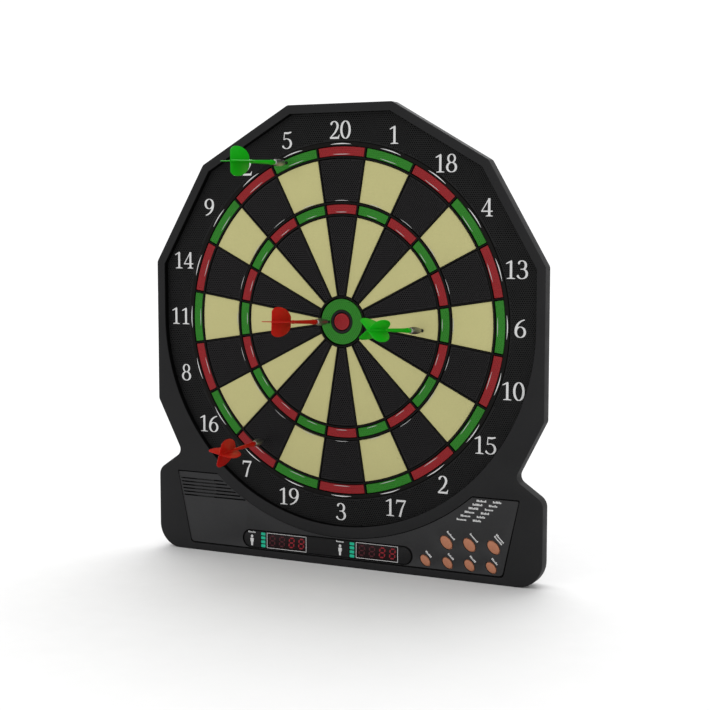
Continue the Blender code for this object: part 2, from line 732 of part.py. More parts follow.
def make_dart_hole(name):
    """The segment's hole that the dart's tip sits in, along the dart."""
    drill = turned("drill_" + name, HOLE_PROFILE, 10)
    drill.parent = bpy.data.objects[name + "_axis"]
    cut(bpy.data.objects[STUCK_IN[name]], drill)


def make_darts():
    for name in DARTS:
        make_dart(name)
        make_dart_hole(name)


make_front_housing()
make_rear_cover()
make_battery_door()
make_cells()
make_number_ring()
make_spider()
make_sectors()
make_bull()
make_matrix()
make_displays()
make_buttons()
make_keypad()
make_control_board()
make_speaker()
make_darts()
bpy.context.view_layer.update()
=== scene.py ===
"""Looks of the electronic dartboard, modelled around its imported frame.

Outlines are in millimetres, in X and Z as the player sees the board. Depths are along Y, which
runs from the player to the wall. Every visible shell is a closed mesh, lofted from outlines.
"""

import json
import random
from collections import namedtuple
from itertools import pairwise
from math import asin, atan2, copysign, cos, degrees, dist, hypot, pi, radians, sin, sqrt, tan, tau

import bmesh
import bpy
import numpy as np
from mathutils import Matrix, Vector
from mathutils.geometry import delaunay_2d_cdt

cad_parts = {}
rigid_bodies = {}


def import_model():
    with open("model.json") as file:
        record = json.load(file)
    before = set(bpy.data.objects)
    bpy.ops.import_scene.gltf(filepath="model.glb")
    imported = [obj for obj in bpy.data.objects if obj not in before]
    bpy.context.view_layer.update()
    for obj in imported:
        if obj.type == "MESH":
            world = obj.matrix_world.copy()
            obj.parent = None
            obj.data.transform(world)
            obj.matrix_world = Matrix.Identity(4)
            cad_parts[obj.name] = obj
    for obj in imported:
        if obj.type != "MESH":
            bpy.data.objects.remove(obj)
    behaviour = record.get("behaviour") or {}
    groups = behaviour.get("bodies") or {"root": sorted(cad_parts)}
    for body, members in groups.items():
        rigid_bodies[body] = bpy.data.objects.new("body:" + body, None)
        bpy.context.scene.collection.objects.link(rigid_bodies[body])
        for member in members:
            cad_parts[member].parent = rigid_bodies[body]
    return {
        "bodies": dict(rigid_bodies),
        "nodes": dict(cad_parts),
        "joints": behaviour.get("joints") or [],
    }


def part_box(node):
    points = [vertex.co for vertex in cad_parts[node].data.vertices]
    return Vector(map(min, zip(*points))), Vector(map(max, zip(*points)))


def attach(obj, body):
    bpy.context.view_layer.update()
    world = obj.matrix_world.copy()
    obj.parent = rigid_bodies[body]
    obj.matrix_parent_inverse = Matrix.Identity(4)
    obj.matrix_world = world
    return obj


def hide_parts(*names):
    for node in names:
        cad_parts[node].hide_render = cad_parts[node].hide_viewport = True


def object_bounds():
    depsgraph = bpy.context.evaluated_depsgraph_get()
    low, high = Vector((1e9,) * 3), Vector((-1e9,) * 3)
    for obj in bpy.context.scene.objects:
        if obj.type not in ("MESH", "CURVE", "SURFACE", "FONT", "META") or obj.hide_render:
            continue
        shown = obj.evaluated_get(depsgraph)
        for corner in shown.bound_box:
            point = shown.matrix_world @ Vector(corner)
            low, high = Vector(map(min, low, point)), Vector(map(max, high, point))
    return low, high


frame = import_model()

CAD_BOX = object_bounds()
MM = 0.001


def place_of(node):
    """Lowest and highest corner of a frame node, in millimetres."""
    low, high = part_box(node)
    return low / MM, high / MM


def depths_of(node):
    """Front and back of a frame node."""
    low, high = place_of(node)
    return low.y, high.y


def polar(radius, angle, centre=(0, 0)):
    """The point at a radius and a clockwise angle from straight up."""
    return centre[0] + radius * sin(angle), centre[1] + radius * cos(angle)


# ---- depths, read from the frame ----
HOUSING_LOW, HOUSING_HIGH = place_of("front_housing")
Y_RIM, Y_SEAM = HOUSING_LOW.y, HOUSING_HIGH.y
Y_TARGET, Y_RING_BACK = depths_of("number_ring")
Y_SPIDER, Y_SPIDER_BACK = depths_of("spider")
Y_WINDOW, Y_WINDOW_BACK = depths_of("display_window")
Y_LENS = depths_of("display_left")[0]
Y_SEGMENT_BACK = depths_of("bull_inner")[1]
Y_WALL = depths_of("rear_cover")[1]
Y_OVERLAY = Y_RIM + 1.2
Y_PANEL = Y_RIM + 2.1
Y_SHADE_SHEET = Y_PANEL - 0.3
Y_PLATE = Y_RIM + 2.6
Y_FLANGE = Y_SEAM + 0.3
Y_FLANGE_BACK = Y_SEAM + 2.0
Y_COVER_INNER = Y_WALL - 2.2
GAP = 0.3

# ---- housing outline, right half, from the top down: x, z, corner radius ----
APOTHEM = HOUSING_HIGH.x
TWELVE_SIDED = cos(radians(15))  # apothem over corner radius
HOUSING_HALF = [(*polar(APOTHEM / TWELVE_SIDED, radians(angle)), 6) for angle in (15, 45, 75)]
HOUSING_HALF += [(APOTHEM, -86.6, 6), (184.4, -141.65, 8), (APOTHEM, -161.2, 12),
                 (APOTHEM, HOUSING_LOW.z, 25)]
HOUSING = HOUSING_HALF + [(-x, z, radius) for x, z, radius in reversed(HOUSING_HALF)]
WALL = 2.4
RIM_EDGE = 0.6
BEZEL = 203.8
BEZEL_WALL = 2.6
BEZEL_EDGE = 0.7
COVER_INSET = 5
COVER_WALL = 2.2
COVER_EDGE = 1.5

# ---- target: radii of the bands in one sector of eighteen degrees ----
NUMBERS = (20, 1, 18, 4, 13, 6, 10, 15, 2, 17, 3, 19, 7, 16, 8, 11, 14, 9, 12, 5)
SECTOR = radians(18)
BANDS = {"inner_single": (25.9, 103.3), "triple": (106.3, 115.0),
         "outer_single": (118.3, 159.4), "double": (162.5, 171.2)}
SEGMENT_SIDE = {"inner_single": 1.1, "triple": 1.5, "outer_single": 1.1, "double": 1.5}
SPIDER_HALF = 0.6
CELL_CLEARANCE = 0.75
SPIDER_OUTER = 175.9
SPIDER_HUB = 23.7
RING_OUTER = 209.3
RING_INNER = 176.2
BULL_OUTER = 22.4
BULL_GREEN = 12.0
BULL_COLLAR = (9.2, 11.6)
BULL_INNER = 8.2

# ---- dimples: rows along X; radius and depth of one ----
ROW_PITCH = 1.9
HOLE_PITCH = 2.2
HOLE = (0.74, 1.3)
FAINT_HOLE = (0.5, 0.5)

# ---- console ----
PANEL_TOP = (190, -161)
PANEL_FOOT = (174, -237)
PANEL_CIRCLE = 214.6
PANEL_EDGE = 0.4
SHADE_LINE_GROOVE = 0.15
OVERLAY_GROOVE = 1.5
SLOT_DROP = 0.8
VENT_COUNT = 6
VENT_TOP = -169.3
VENT_PITCH = 3.5
VENT_HEIGHT = 1.3
LEAN = radians(-45)
BUTTONS = [name for name in sorted(frame["bodies"]) if name.startswith("button_")]
BUTTON_AXES = {"top": (7.9, 5.4), "low": (6.7, 4.6)}
BUTTON_GAP = 0.75

# ---- numbers: how far each stands from its regular place, in x and z ----
NUMBER_RADIUS = 189.3
DIGIT_HEIGHT = 17.3
NUMBER_NUDGES = {20: (-1.5, -2), 1: (-2, 1), 18: (-1, 0), 4: (-1, 0.5), 13: (2, -4.5), 6: (-3, -0.5),
                 10: (-0.5, -1), 15: (-1, -1), 2: (-2, -0.5), 17: (0.5, -0.5), 3: (-0.5, -0.5),
                 19: (-2, 0.5), 7: (2, -1.5), 16: (-2, 0.5), 8: (-2, 0), 11: (1, 0.5), 14: (-4, 0),
                 12: (-1.5, 0), 9: (1, 1.5), 5: (-2, -1.5)}
INK = 0.12
INK_ROOT = 0.02

SHARP_ANGLE = radians(35)
RANDOM = random.Random(20)


# ---- outlines ----

def circle(radius, count, centre=(0, 0)):
    return [polar(radius, tau * i / count, centre) for i in range(count)]


def ellipse(centre, half_long, half_short, count=40):
    """A push button's outline, which leans."""
    points = []
    for i in range(count):
        angle = -tau * i / count
        along, across = half_long * cos(angle), half_short * sin(angle)
        points.append((centre[0] + along * cos(LEAN) - across * sin(LEAN),
                       centre[1] + along * sin(LEAN) + across * cos(LEAN)))
    return points


def rectangle(x_span, z_span, radius=0.0):
    """Clockwise corners with their radius."""
    (left, right), (low, high) = x_span, z_span
    return [(left, high, radius), (right, high, radius), (right, low, radius), (left, low, radius)]


def node_rectangle(node, radius, margin=0.0):
    """Corners around a frame node, grown by a margin."""
    low, high = place_of(node)
    return rectangle((low.x - margin, high.x + margin), (low.z - margin, high.z + margin), radius)


def turned(points, centre, angle):
    """Points or corners turned counterclockwise about the origin, then moved to a centre."""
    c, s = cos(angle), sin(angle)
    return [(centre[0] + x * c - z * s, centre[1] + x * s + z * c, *radius) for x, z, *radius in points]


def sides_at(corners, i):
    """A corner of a closed outline, and the directions of the edges into and out of it."""
    before, here, after = (Vector(corners[k % len(corners)][:2]) for k in (i - 1, i, i + 1))
    return here, (here - before).normalized(), (after - here).normalized()


def inset(corners, distance):
    """Moves every edge of a clockwise outline inwards, and its corner radii with it."""
    moved = []
    for i, (_, _, radius) in enumerate(corners):
        here, into, out = sides_at(corners, i)
        normal_in, normal_out = Vector((into.y, -into.x)), Vector((out.y, -out.x))
        point = here + (normal_in + normal_out) / (1 + normal_in.dot(normal_out)) * distance
        if radius:
            convex = into.x * out.y - into.y * out.x < 0
            radius = max(radius - distance if convex else radius + distance, 0.15)
        moved.append((point.x, point.y, radius))
    return moved


def rounded(corners, step_degrees=6):
    """Points of an outline whose corners are arcs that meet both edges smoothly."""
    points = []
    for i, (_, _, radius) in enumerate(corners):
        here, into, out = sides_at(corners, i)
        if not radius:
            points.append(tuple(here))
            continue
        bend = into.angle(out)
        start = here - into * radius * tan(bend / 2)
        side = 1 if into.x * out.y - into.y * out.x > 0 else -1
        centre = start + Vector((-into.y, into.x)) * side * radius
        steps = max(1, round(degrees(bend) / step_degrees))
        for k in range(steps + 1):
            points.append(tuple(centre + Matrix.Rotation(side * bend * k / steps, 2) @ (start - centre)))
    return points


# Functions from a distance to an outline, for lofting. A shape shrinks with the distance, an opening grows.

def shrinking(corners, step_degrees=6):
    return lambda distance: rounded(inset(corners, distance), step_degrees)


def growing(corners, step_degrees=6, margin=0.0):
    return lambda distance: rounded(inset(corners, -margin - distance), step_degrees)


def disc(radius, count, centre=(0, 0)):
    return lambda distance: circle(radius - distance, count, centre)


def bore(radius, count, centre=(0, 0)):
    return lambda distance: circle(radius + distance, count, centre)


housing_outline = shrinking(HOUSING)


def target_outline(apothem):
    """Twelve-sided above the centre, round below it."""
    upper = [polar(apothem / TWELVE_SIDED, radians(a)) for a in (-75, -45, -15, 15, 45, 75)]
    return upper + [polar(apothem, radians(90 + 2.5 * i)) for i in range(73)]


def band_outline(inner, outer, side, centre_angle, chords=8):
    """A stretch of ring that keeps the same distance to both borders of its sector."""
    points = []
    for radius, order in ((outer, 1), (inner, -1)):
        half = SECTOR / 2 - asin(side / radius)
        points += [polar(radius, centre_angle + order * (-half + 2 * half * k / chords))
                   for k in range(chords + 1)]
    return points


def panel_corners(groove=0.0):
    """The sunken console panel, bounded above by the ring around the target."""
    top_x, top_z = PANEL_TOP[0] - groove, PANEL_TOP[1] - groove
    foot_x, foot_z = PANEL_FOOT[0] - groove, PANEL_FOOT[1] + groove
    # With a groove the outline shrinks fully at its top, right and foot, by half along the ring and only a
    # little at the left, so the painted shadow line around the overlay shows mostly above and at the right.
    left_shift = 0.85 * groove
    radius = PANEL_CIRCLE + 0.5 * groove
    start = atan2(sqrt(radius ** 2 - top_z ** 2), top_z)
    count = 40
    ends_radius, feet_radius = 1.2, 4.5
    corners = [(-top_x - left_shift, top_z, ends_radius)]
    for i in range(count + 1):
        angle = tau - start - (tau - 2 * start) * i / count
        corners.append((*polar(radius, angle), 0))
    return corners + [(top_x, top_z, ends_radius), (foot_x, foot_z, feet_radius),
                      (-foot_x - left_shift, foot_z, feet_radius)]


def slot_corners():
    """The opening for the display window, with round ends."""
    low, high = place_of("display_window")
    top = high.z - SLOT_DROP + GAP
    return rectangle((low.x - GAP, high.x + GAP), (low.z - GAP, top), (top - low.z + GAP) / 2 - 0.05)


def vent_corners(index):
    """One vent slot, from the panel's slanting left edge to the ring around the target."""
    z = VENT_TOP - VENT_PITCH * index
    slant = (PANEL_TOP[0] - PANEL_FOOT[0]) / (PANEL_TOP[1] - PANEL_FOOT[1])
    left_margin, right_margin = 1.8, 3.0
    left = -PANEL_TOP[0] - slant * (z - PANEL_TOP[1]) + left_margin
    right = -sqrt(PANEL_CIRCLE ** 2 - z ** 2) - right_margin
    return rectangle((left, right), (z - VENT_HEIGHT / 2, z + VENT_HEIGHT / 2), 0.3)


def button_place(name):
    """Centre and half axes of a push button."""
    low, high = place_of(name)
    return ((low.x + high.x) / 2, (low.z + high.z) / 2), BUTTON_AXES[name.split("_")[1]]


def button_hole(name, margin):
    """A function from growth to the outline of a push button's hole."""
    centre, (long, short) = button_place(name)
    return lambda grown: ellipse(centre, long + margin + grown, short + margin + grown)


# ---- shells ----

def flattened(loops):
    """The corners of some flat loops in one list, and each loop as counterclockwise places in it."""
    corners, indexed = [], []
    for loop in loops:
        area = sum(a[0] * b[1] - b[0] * a[1] for a, b in zip(loop, loop[1:] + loop[:1]))
        places = list(range(len(corners), len(corners) + len(loop)))
        indexed.append(places if area > 0 else places[::-1])
        corners.extend(Vector(corner) for corner in loop)
    return corners, indexed


class Shell:
    """A closed surface, built ring by ring. Faces of walls are smooth and those of caps are flat."""

    def __init__(self):
        self.points = []
        self.faces = []
        self.smooth = []

    def face(self, corners, smooth=False):
        self.faces.append(tuple(corners))
        self.smooth.append(smooth)

    def ring(self, loop, y):
        start = len(self.points)
        self.points.extend((x, y, z) for x, z in loop)
        return list(range(start, len(self.points)))

    def wall(self, first, second, smooth=True):
        for i in range(len(first)):
            self.face((first[i - 1], first[i], second[i], second[i - 1]), smooth)

    def skin(self, rings, smooth=True):
        """Walls from each ring to the next."""
        for first, second in pairwise(rings):
            self.wall(first, second, smooth)

    def loft(self, outline, stations):
        """Rings of outline(distance) at each (distance, depth); returns the first and the last."""
        rings = [self.ring(outline(distance), y) for distance, y in stations]
        self.skin(rings)
        return rings[0], rings[-1]

    def cap(self, outer, holes=()):
        """Fills a flat ring, leaving its holes open."""
        rings = (outer, *holes)
        order = [i for ring in rings for i in ring]
        flat, loops = flattened([[(self.points[i][0], self.points[i][2]) for i in ring] for ring in rings])
        _, _, triangles, kept, _, sources = delaunay_2d_cdt(flat, [], loops, 1, 1e-6, True)
        for triangle, source in zip(triangles, sources):
            if source == [0]:
                self.face(order[kept[i][0]] for i in triangle)

    def plate(self, outline, stations, openings=(), mouths=()):
        """A loft with both ends capped, around its openings' ends and the mouths of its recesses."""
        front, back = self.loft(outline, stations)
        self.cap(front, [first for first, _ in openings] + list(mouths))
        self.cap(back, [last for _, last in openings])

    def pocket(self, outline, y, floor, lip=0.15):
        """A blind recess: returns its mouth, for the cap around it."""
        mouth, base = self.loft(outline, [(lip, y), (0, y + copysign(lip, floor - y)), (0, floor)])
        self.cap(base)
        return mouth

    def pits(self, centres, size):
        """Six-sided dimples in the face of the target; returns their mouths."""
        radius, depth = size
        mouths = []
        for centre in centres:
            mouth = self.ring(circle(radius, 6, centre), Y_TARGET)
            base = self.ring(circle(radius * 0.85, 6, centre), Y_TARGET + depth)
            self.wall(mouth, base, smooth=False)
            self.face(base)
            mouths.append(mouth)
        return mouths

    def turn(self, profile, count):
        """A solid of revolution about Z, from (radius, height) pairs; radius 0 closes an end."""
        rings = []
        for radius, height in profile:
            start = len(self.points)
            for k in range(count if radius else 1):
                angle = tau * k / count
                self.points.append((radius * cos(angle), radius * sin(angle), height))
            rings.append(list(range(start, len(self.points))))
        for first, second in pairwise(rings):
            for k in range(count):
                corners = [first[k - 1 if len(first) > 1 else 0], first[k % len(first)],
                           second[k % len(second)], second[k - 1 if len(second) > 1 else 0]]
                self.face(dict.fromkeys(corners), smooth=True)

    def transform(self, matrix, start=0):
        for i in range(start, len(self.points)):
            self.points[i] = tuple(matrix @ Vector(self.points[i]))

    def build(self, name, look, body="housing", node=None):
        """Makes the piece, which rides on a body and may stand for a frame node."""
        mesh = bpy.data.meshes.new(name)
        mesh.from_pydata([(x * MM, y * MM, z * MM) for x, y, z in self.points], [], self.faces)
        mesh.polygons.foreach_set("use_smooth", self.smooth)
        work = bmesh.new()
        work.from_mesh(mesh)
        bmesh.ops.recalc_face_normals(work, faces=work.faces)
        work.to_mesh(mesh)
        work.free()
        mesh.set_sharp_from_angle(angle=SHARP_ANGLE)
        mesh.materials.append(look.material)
        piece = add_object(name, mesh)
        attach(piece, body)
        if node:
            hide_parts(node)


def add_object(name, data):
    thing = bpy.data.objects.new(name, data)
    bpy.context.scene.collection.objects.link(thing)
    return thing


def round_over(radius, y, way=1, steps=4):
    """(inset, depth) stations of a rounded edge that starts on the face at depth y."""
    angles = [pi / 2 * k / steps for k in range(steps + 1)]
    return [(radius * (1 - sin(a)), y + way * radius * (1 - cos(a))) for a in angles]


# ---- materials ----

# A finish, and the name of its slot; nothing here gives that slot to a piece.
Look = namedtuple("Look", "material slot")


def feed(tree, node, inputs):
    """Sets inputs of a node, each to a plain value or to the socket that drives it."""
    for name, value in inputs.items():
        if isinstance(value, bpy.types.NodeSocket):
            tree.links.new(value, node.inputs[name])
        else:
            node.inputs[name].default_value = value


def add_node(tree, kind, output, inputs=None, **settings):
    """A shader node with its settings and inputs; returns one of its outputs."""
    node = tree.nodes.new("ShaderNode" + kind)
    for key, value in settings.items():
        setattr(node, key, value)
    feed(tree, node, inputs or {})
    return node.outputs[output]


def reckon(tree, operation, *values):
    """The result of a Math node."""
    return add_node(tree, 'Math', "Value", dict(enumerate(values)), operation=operation)


def mixed(tree, factor, first, second):
    """The colour between two."""
    inputs = {"Factor": factor, "A": first, "B": second}
    return add_node(tree, 'Mix', "Result", inputs, data_type='RGBA')


def noise(tree, coordinates, scale, detail=3):
    """The value of a noise texture, whose features are about 1/scale metres wide."""
    return add_node(tree, 'TexNoise', "Fac", {"Vector": coordinates, "Scale": scale, "Detail": detail})


def spread(tree, value, low, high):
    """Maps a noise value to a range of plain numbers."""
    inputs = {"Value": value, "From Min": 0.3, "From Max": 0.7, "To Min": low, "To Max": high}
    return add_node(tree, 'MapRange', "Result", inputs)


def worn_edges(tree, width, patches):
    """A mask that is 1 on sharp edges, within a width in millimetres, and fades in patches: edge wear
    together with a painted highlight along bevels.
    """
    bevelled = add_node(tree, 'Bevel', "Normal", {"Radius": width * MM}, samples=4)
    plain = add_node(tree, 'NewGeometry', "Normal")
    flat = add_node(tree, 'VectorMath', "Value", {0: bevelled, 1: plain}, operation='DOT_PRODUCT')
    sharp = add_node(tree, 'MapRange', "Result", {"Value": flat, "From Min": 0.995, "From Max": 0.9})
    return reckon(tree, 'MULTIPLY', sharp, spread(tree, patches, 0.35, 1))


def tone(colour, factor, lift=0.0):
    """A colour with alpha, made lighter or darker."""
    return (*(min(channel * factor + lift, 1) for channel in colour), 1)


def finish(name, colour, roughness, metallic=0.0, specular=0.15, coat=0.0, grain=1800, grain_depth=0.02,
           mottle=0.1, glow=0.0, wear_and_highlight_width=0.0, slot=None):
    """Moulded or coated surface: blotchy colour, uneven gloss, a fine grain, and edges painted lighter,
    partly as wear and partly as a painted highlight along bevels.

    Its slot has the same name, unless slot is given.
    """
    material = bpy.data.materials.new(name)
    material.use_nodes = True
    tree = material.node_tree
    place = add_node(tree, 'TexCoord', "Object")
    blotches = spread(tree, noise(tree, place, 22), 0, 0.6)
    specks = spread(tree, noise(tree, place, 700, 2), 0, 0.4)
    both = reckon(tree, 'ADD', blotches, specks)
    surface = mixed(tree, both, tone(colour, 1 - mottle), tone(colour, 1 + mottle))
    handling = noise(tree, place, 60)
    # Sharp edges get a lighter tone: partly wear, partly a painted highlight where bevels would catch the
    # light.
    if wear_and_highlight_width:
        surface = mixed(tree, worn_edges(tree, wear_and_highlight_width, handling), surface, tone(colour, 1.5, 0.006))
    gloss = spread(tree, handling, roughness * 0.85, min(roughness * 1.15, 1))
    inputs = {"Base Color": surface, "Roughness": gloss, "Metallic": metallic,
              "Specular IOR Level": specular, "Coat Weight": coat, "Coat Roughness": 0.08}
    if glow:
        inputs |= {"Emission Color": surface, "Emission Strength": glow}
    if grain_depth:
        relief = {"Strength": 0.6, "Distance": grain_depth * MM, "Height": noise(tree, place, grain, 2)}
        inputs["Normal"] = add_node(tree, 'Bump', "Normal", relief)
    feed(tree, tree.nodes["Principled BSDF"], inputs)
    return Look(material, slot or name)


def bare_ends(material):
    """Leaves metal bare at both ends of a cell, beyond its printed wrap."""
    tree = material.node_tree
    shader = tree.nodes["Principled BSDF"]
    along = add_node(tree, 'SeparateXYZ', "X", {"Vector": add_node(tree, 'TexCoord', "Generated")})
    from_middle = reckon(tree, 'ABSOLUTE', reckon(tree, 'SUBTRACT', along, 0.49))
    bare = reckon(tree, 'GREATER_THAN', from_middle, 0.462)
    wrapped = shader.inputs["Base Color"].links[0].from_socket
    feed(tree, shader, {"Base Color": mixed(tree, bare, wrapped, (0.55, 0.55, 0.54, 1)), "Metallic": bare})


HOUSING_BLACK = finish("housing_black", (0.0158, 0.0158, 0.0164), 0.45, specular=0.06, grain=1500,
                       grain_depth=0.04, wear_and_highlight_width=0.9)
PANEL_GREY = finish("panel_grey", (0.0245, 0.0245, 0.0255), 0.4, grain=1500, wear_and_highlight_width=0.4, slot="housing_black")
RING_BLACK = finish("ring_black", (0.0088, 0.0088, 0.009), 0.55, specular=0.1)
SPIDER_BLACK = finish("spider_black", (0.0036, 0.0032, 0.0028), 0.5, specular=0.08)
# Near-black for sheets that stand for shade: painted shade on the bezel's inner wall, a painted shadow line
# around the console overlay and in the window's channel.
PAINTED_SHADE_BLACK = finish("painted_shade_black", (0.0014, 0.0014, 0.0014), 0.6, specular=0.04, slot="housing_black")
SEGMENT_BLACK = finish("segment_black", (0.0092, 0.0086, 0.0092), 0.5, specular=0.1, wear_and_highlight_width=0.35)
SEGMENT_CREAM = finish("segment_cream", (0.43, 0.405, 0.182), 0.45, mottle=0.04)
TARGET_RED = finish("target_red", (0.228, 0.0098, 0.013), 0.42, mottle=0.08, wear_and_highlight_width=0.35)
TARGET_GREEN = finish("target_green", (0.0175, 0.16, 0.011), 0.42, mottle=0.08, wear_and_highlight_width=0.35)
WINDOW_GLOSS = finish("window_gloss", (0.0085, 0.0085, 0.009), 0.22, grain_depth=0, mottle=0.05, wear_and_highlight_width=0.3)
DISPLAY_LENS = finish("display_lens", (0.008, 0.002, 0.0025), 0.25, grain_depth=0)
DIGIT_DIM = finish("digit_dim", (0.05, 0.009, 0.013), 0.4, grain_depth=0, glow=0.2, slot="display_lens")
DIGIT_LIT = finish("digit_lit", (0.165, 0.01, 0.016), 0.4, grain_depth=0, glow=0.35, slot="display_lens")
LIGHT_LENS = finish("light_lens", (0.01, 0.3, 0.18), 0.35, grain_depth=0, glow=0.4)
LIGHT_HOLDER = finish("light_holder", (0.006, 0.012, 0.01), 0.4, slot="light_lens")
BUTTON_ORANGE = finish("button_orange", (0.38, 0.155, 0.088), 0.45, mottle=0.08, grain_depth=0.015, wear_and_highlight_width=0.8)
DART_GREEN = finish("dart_green", (0.003, 0.34, 0.004), 0.4, mottle=0.12, grain_depth=0.01)
DART_RED = finish("dart_red", (0.4, 0.006, 0.003), 0.4, mottle=0.12, grain_depth=0.01)
BARREL_METAL = finish("barrel_metal", (0.38, 0.38, 0.36), 0.38, metallic=1.0, grain=900, grain_depth=0.01,
                      wear_and_highlight_width=0.3)
TIP_PLASTIC = finish("tip_plastic", (0.03, 0.03, 0.03), 0.4)
RUBBER_GREY = finish("rubber_grey", (0.06, 0.06, 0.06), 0.8, grain=900, grain_depth=0.06)
FILM = finish("film", (0.45, 0.42, 0.3), 0.35, grain_depth=0.005)
HARDBOARD = finish("hardboard", (0.2, 0.12, 0.07), 0.8, grain=500, grain_depth=0.1, mottle=0.2)
CIRCUIT_BOARD = finish("circuit_board", (0.02, 0.12, 0.05), 0.4, mottle=0.15)
SPEAKER_BLACK = finish("speaker_black", (0.03, 0.03, 0.03), 0.7, grain=900, grain_depth=0.06)
CELL_WRAP = finish("cell_wrap", (0.04, 0.09, 0.26), 0.3, coat=0.3, grain_depth=0)
bare_ends(CELL_WRAP.material)
SCREW_STEEL = finish("screw_steel", (0.42, 0.42, 0.43), 0.35, metallic=1.0, grain=900, grain_depth=0.01,
                     slot="housing_black")
PRINT_WHITE = finish("print_white", (0.58, 0.58, 0.58), 0.5, mottle=0.04, grain_depth=0.01)
# A dimmer grey for the painted highlights on the fields.
GLINT_GREY = finish("glint_grey", (0.4, 0.4, 0.4), 0.5, mottle=0.04, grain_depth=0.01, slot="print_white")


# ---- plates and prints ----

def slab(name, outline, y_front, y_back, edge, look, node=None):
    """A plate of the housing with a rounded front edge."""
    shell = Shell()
    shell.plate(outline, round_over(edge, y_front) + [(0, y_back)])
    shell.build(name, look, node=node)


def ink(name, polygons, y, look=PRINT_WHITE, body="housing"):
    """A thin raised print: the union of flat polygons, in front of the surface at depth y."""
    flat, loops = flattened(polygons)
    verts, _, triangles, _, _, sources = delaunay_2d_cdt(flat, [], loops, 1, 1e-5, True)
    triangles = [tuple(triangle) for triangle, source in zip(triangles, sources) if source]
    shell = Shell()
    loop = [(vert.x, vert.y) for vert in verts]
    front, back = shell.ring(loop, y - INK), shell.ring(loop, y + INK_ROOT)
    edges = {(a, b) for triangle in triangles for a, b in zip(triangle, triangle[1:] + triangle[:1])}
    for triangle in triangles:
        shell.face(front[i] for i in triangle)
        shell.face(back[i] for i in reversed(triangle))
    for a, b in edges:
        if (b, a) not in edges:
            shell.face((front[b], front[a], back[a], back[b]))
    shell.build(name, look, body)


# ---- housing ----

SHADE_LINING_GAP = 0.05
SHADE_LINING_INSET = 0.4


def panel_openings(margin):
    """Outlines of the display slot, the vents and the button holes, all grown by a margin."""
    outlines = [growing(slot_corners(), margin=margin)]
    outlines += [growing(vent_corners(index), margin=margin) for index in range(VENT_COUNT)]
    return outlines + [button_hole(name, margin) for name in BUTTONS]


def make_front_housing():
    shell = Shell()
    front, side_end = shell.loft(housing_outline, round_over(RIM_EDGE, Y_RIM) + [(0, Y_SEAM)])
    lining_back, lining_front = shell.loft(housing_outline, [(WALL, Y_SEAM), (WALL, Y_PLATE)])
    shell.wall(side_end, lining_back)
    y_bezel_end = Y_TARGET - GAP
    stations = round_over(BEZEL_EDGE, Y_RIM)
    stations += [(0, y_bezel_end), (BEZEL_WALL, y_bezel_end), (BEZEL_WALL, Y_PLATE)]
    bezel_front, bezel_back = shell.loft(lambda grown: target_outline(BEZEL + grown), stations)
    panel_stations = round_over(PANEL_EDGE, Y_RIM) + [(0, Y_PANEL)]
    panel_front, panel_floor = shell.loft(growing(panel_corners()), panel_stations)
    openings = [shell.loft(outline, [(0, Y_PANEL), (0, Y_PLATE)]) for outline in panel_openings(0)]
    shell.cap(front, [bezel_front, panel_front])
    shell.cap(panel_floor, [mouth for mouth, _ in openings])
    shell.cap(lining_front, [bezel_back] + [end for _, end in openings])
    shell.build("housing_shell", HOUSING_BLACK, node="front_housing")


def make_lining():
    """A near-black sheet on the wall inside the bezel, whose front slopes inwards: painted shade in the
    recess around the target.
    """
    shell = Shell()
    y_back = Y_TARGET - SHADE_LINING_GAP
    stations = [(SHADE_LINING_GAP, y_back), (SHADE_LINING_GAP, Y_RIM + 0.8), (SHADE_LINING_INSET, Y_RIM + 1.1),
                (SHADE_LINING_INSET, y_back)]
    first, last = shell.loft(lambda inward: target_outline(BEZEL - inward), stations)
    shell.wall(last, first)
    shell.build("bezel_shade_lining", PAINTED_SHADE_BLACK)


def make_overlay():
    """The lighter sheet that lines the console panel, and a near-black one behind it that shows around it as
    a painted shadow line.
    """
    edge, hole_edge, hole_margin = 0.1, 0.15, 0.05
    sheets = (("console_shade_sheet", SHADE_LINE_GROOVE, Y_SHADE_SHEET, Y_PANEL, PAINTED_SHADE_BLACK),
              ("console_overlay", OVERLAY_GROOVE, Y_OVERLAY, Y_SHADE_SHEET, PANEL_GREY))
    for name, groove, y_front, y_back, look in sheets:
        shell = Shell()
        hole_stations = round_over(hole_edge, y_front, steps=2) + [(0, y_back)]
        openings = [shell.loft(outline, hole_stations) for outline in panel_openings(hole_margin)]
        stations = [(edge, y_front), (0, y_front + edge), (0, y_back)]
        shell.plate(shrinking(panel_corners(groove)), stations, openings)
        shell.build(name, look)


# ---- rear cover ----

FIELD_RADIUS = 166
FIELD_FLOOR = Y_WALL - 0.9
FIELD_EDGE = 0.3
HUB_RADIUS = 22
RIB_RING = (98, 104)
SPOKES = 12
SPOKE_ENDS = {"near": (32, 90), "far": (112, 158)}
SPOKE_HALF = 1.6
SCREW_PLACES = [(0, 198), (0, -229)]
SCREW_PLACES += [(side * x, z) for side in (-1, 1)
                 for x, z in ((143, 143), (195, 52), (194, -62), (196, -177), (192, -226))]
WELL_RADIUS = 3.7
WELL_WALL = 1.2
WELL_FLOOR = Y_WALL - 8.6
WELL_END = WELL_FLOOR - 1.4
KEYHOLE = (60, 179)
KEYHOLE_RADIUS = 4.6
KEYHOLE_SLOT = (2.4, 9)
KEYHOLE_EDGE = 0.4
BAY = {"hatch": ((-173.5, -118.5), (-235.3, -189.5)), "inner": ((-174.5, -117.5), (-236.1, -189.1)),
       "outer": ((-176.1, -115.9), (-236.5, -187.6))}
BAY_FRONT = -16.8
LABEL_RECESS = ((20, 92), (-232, -206))
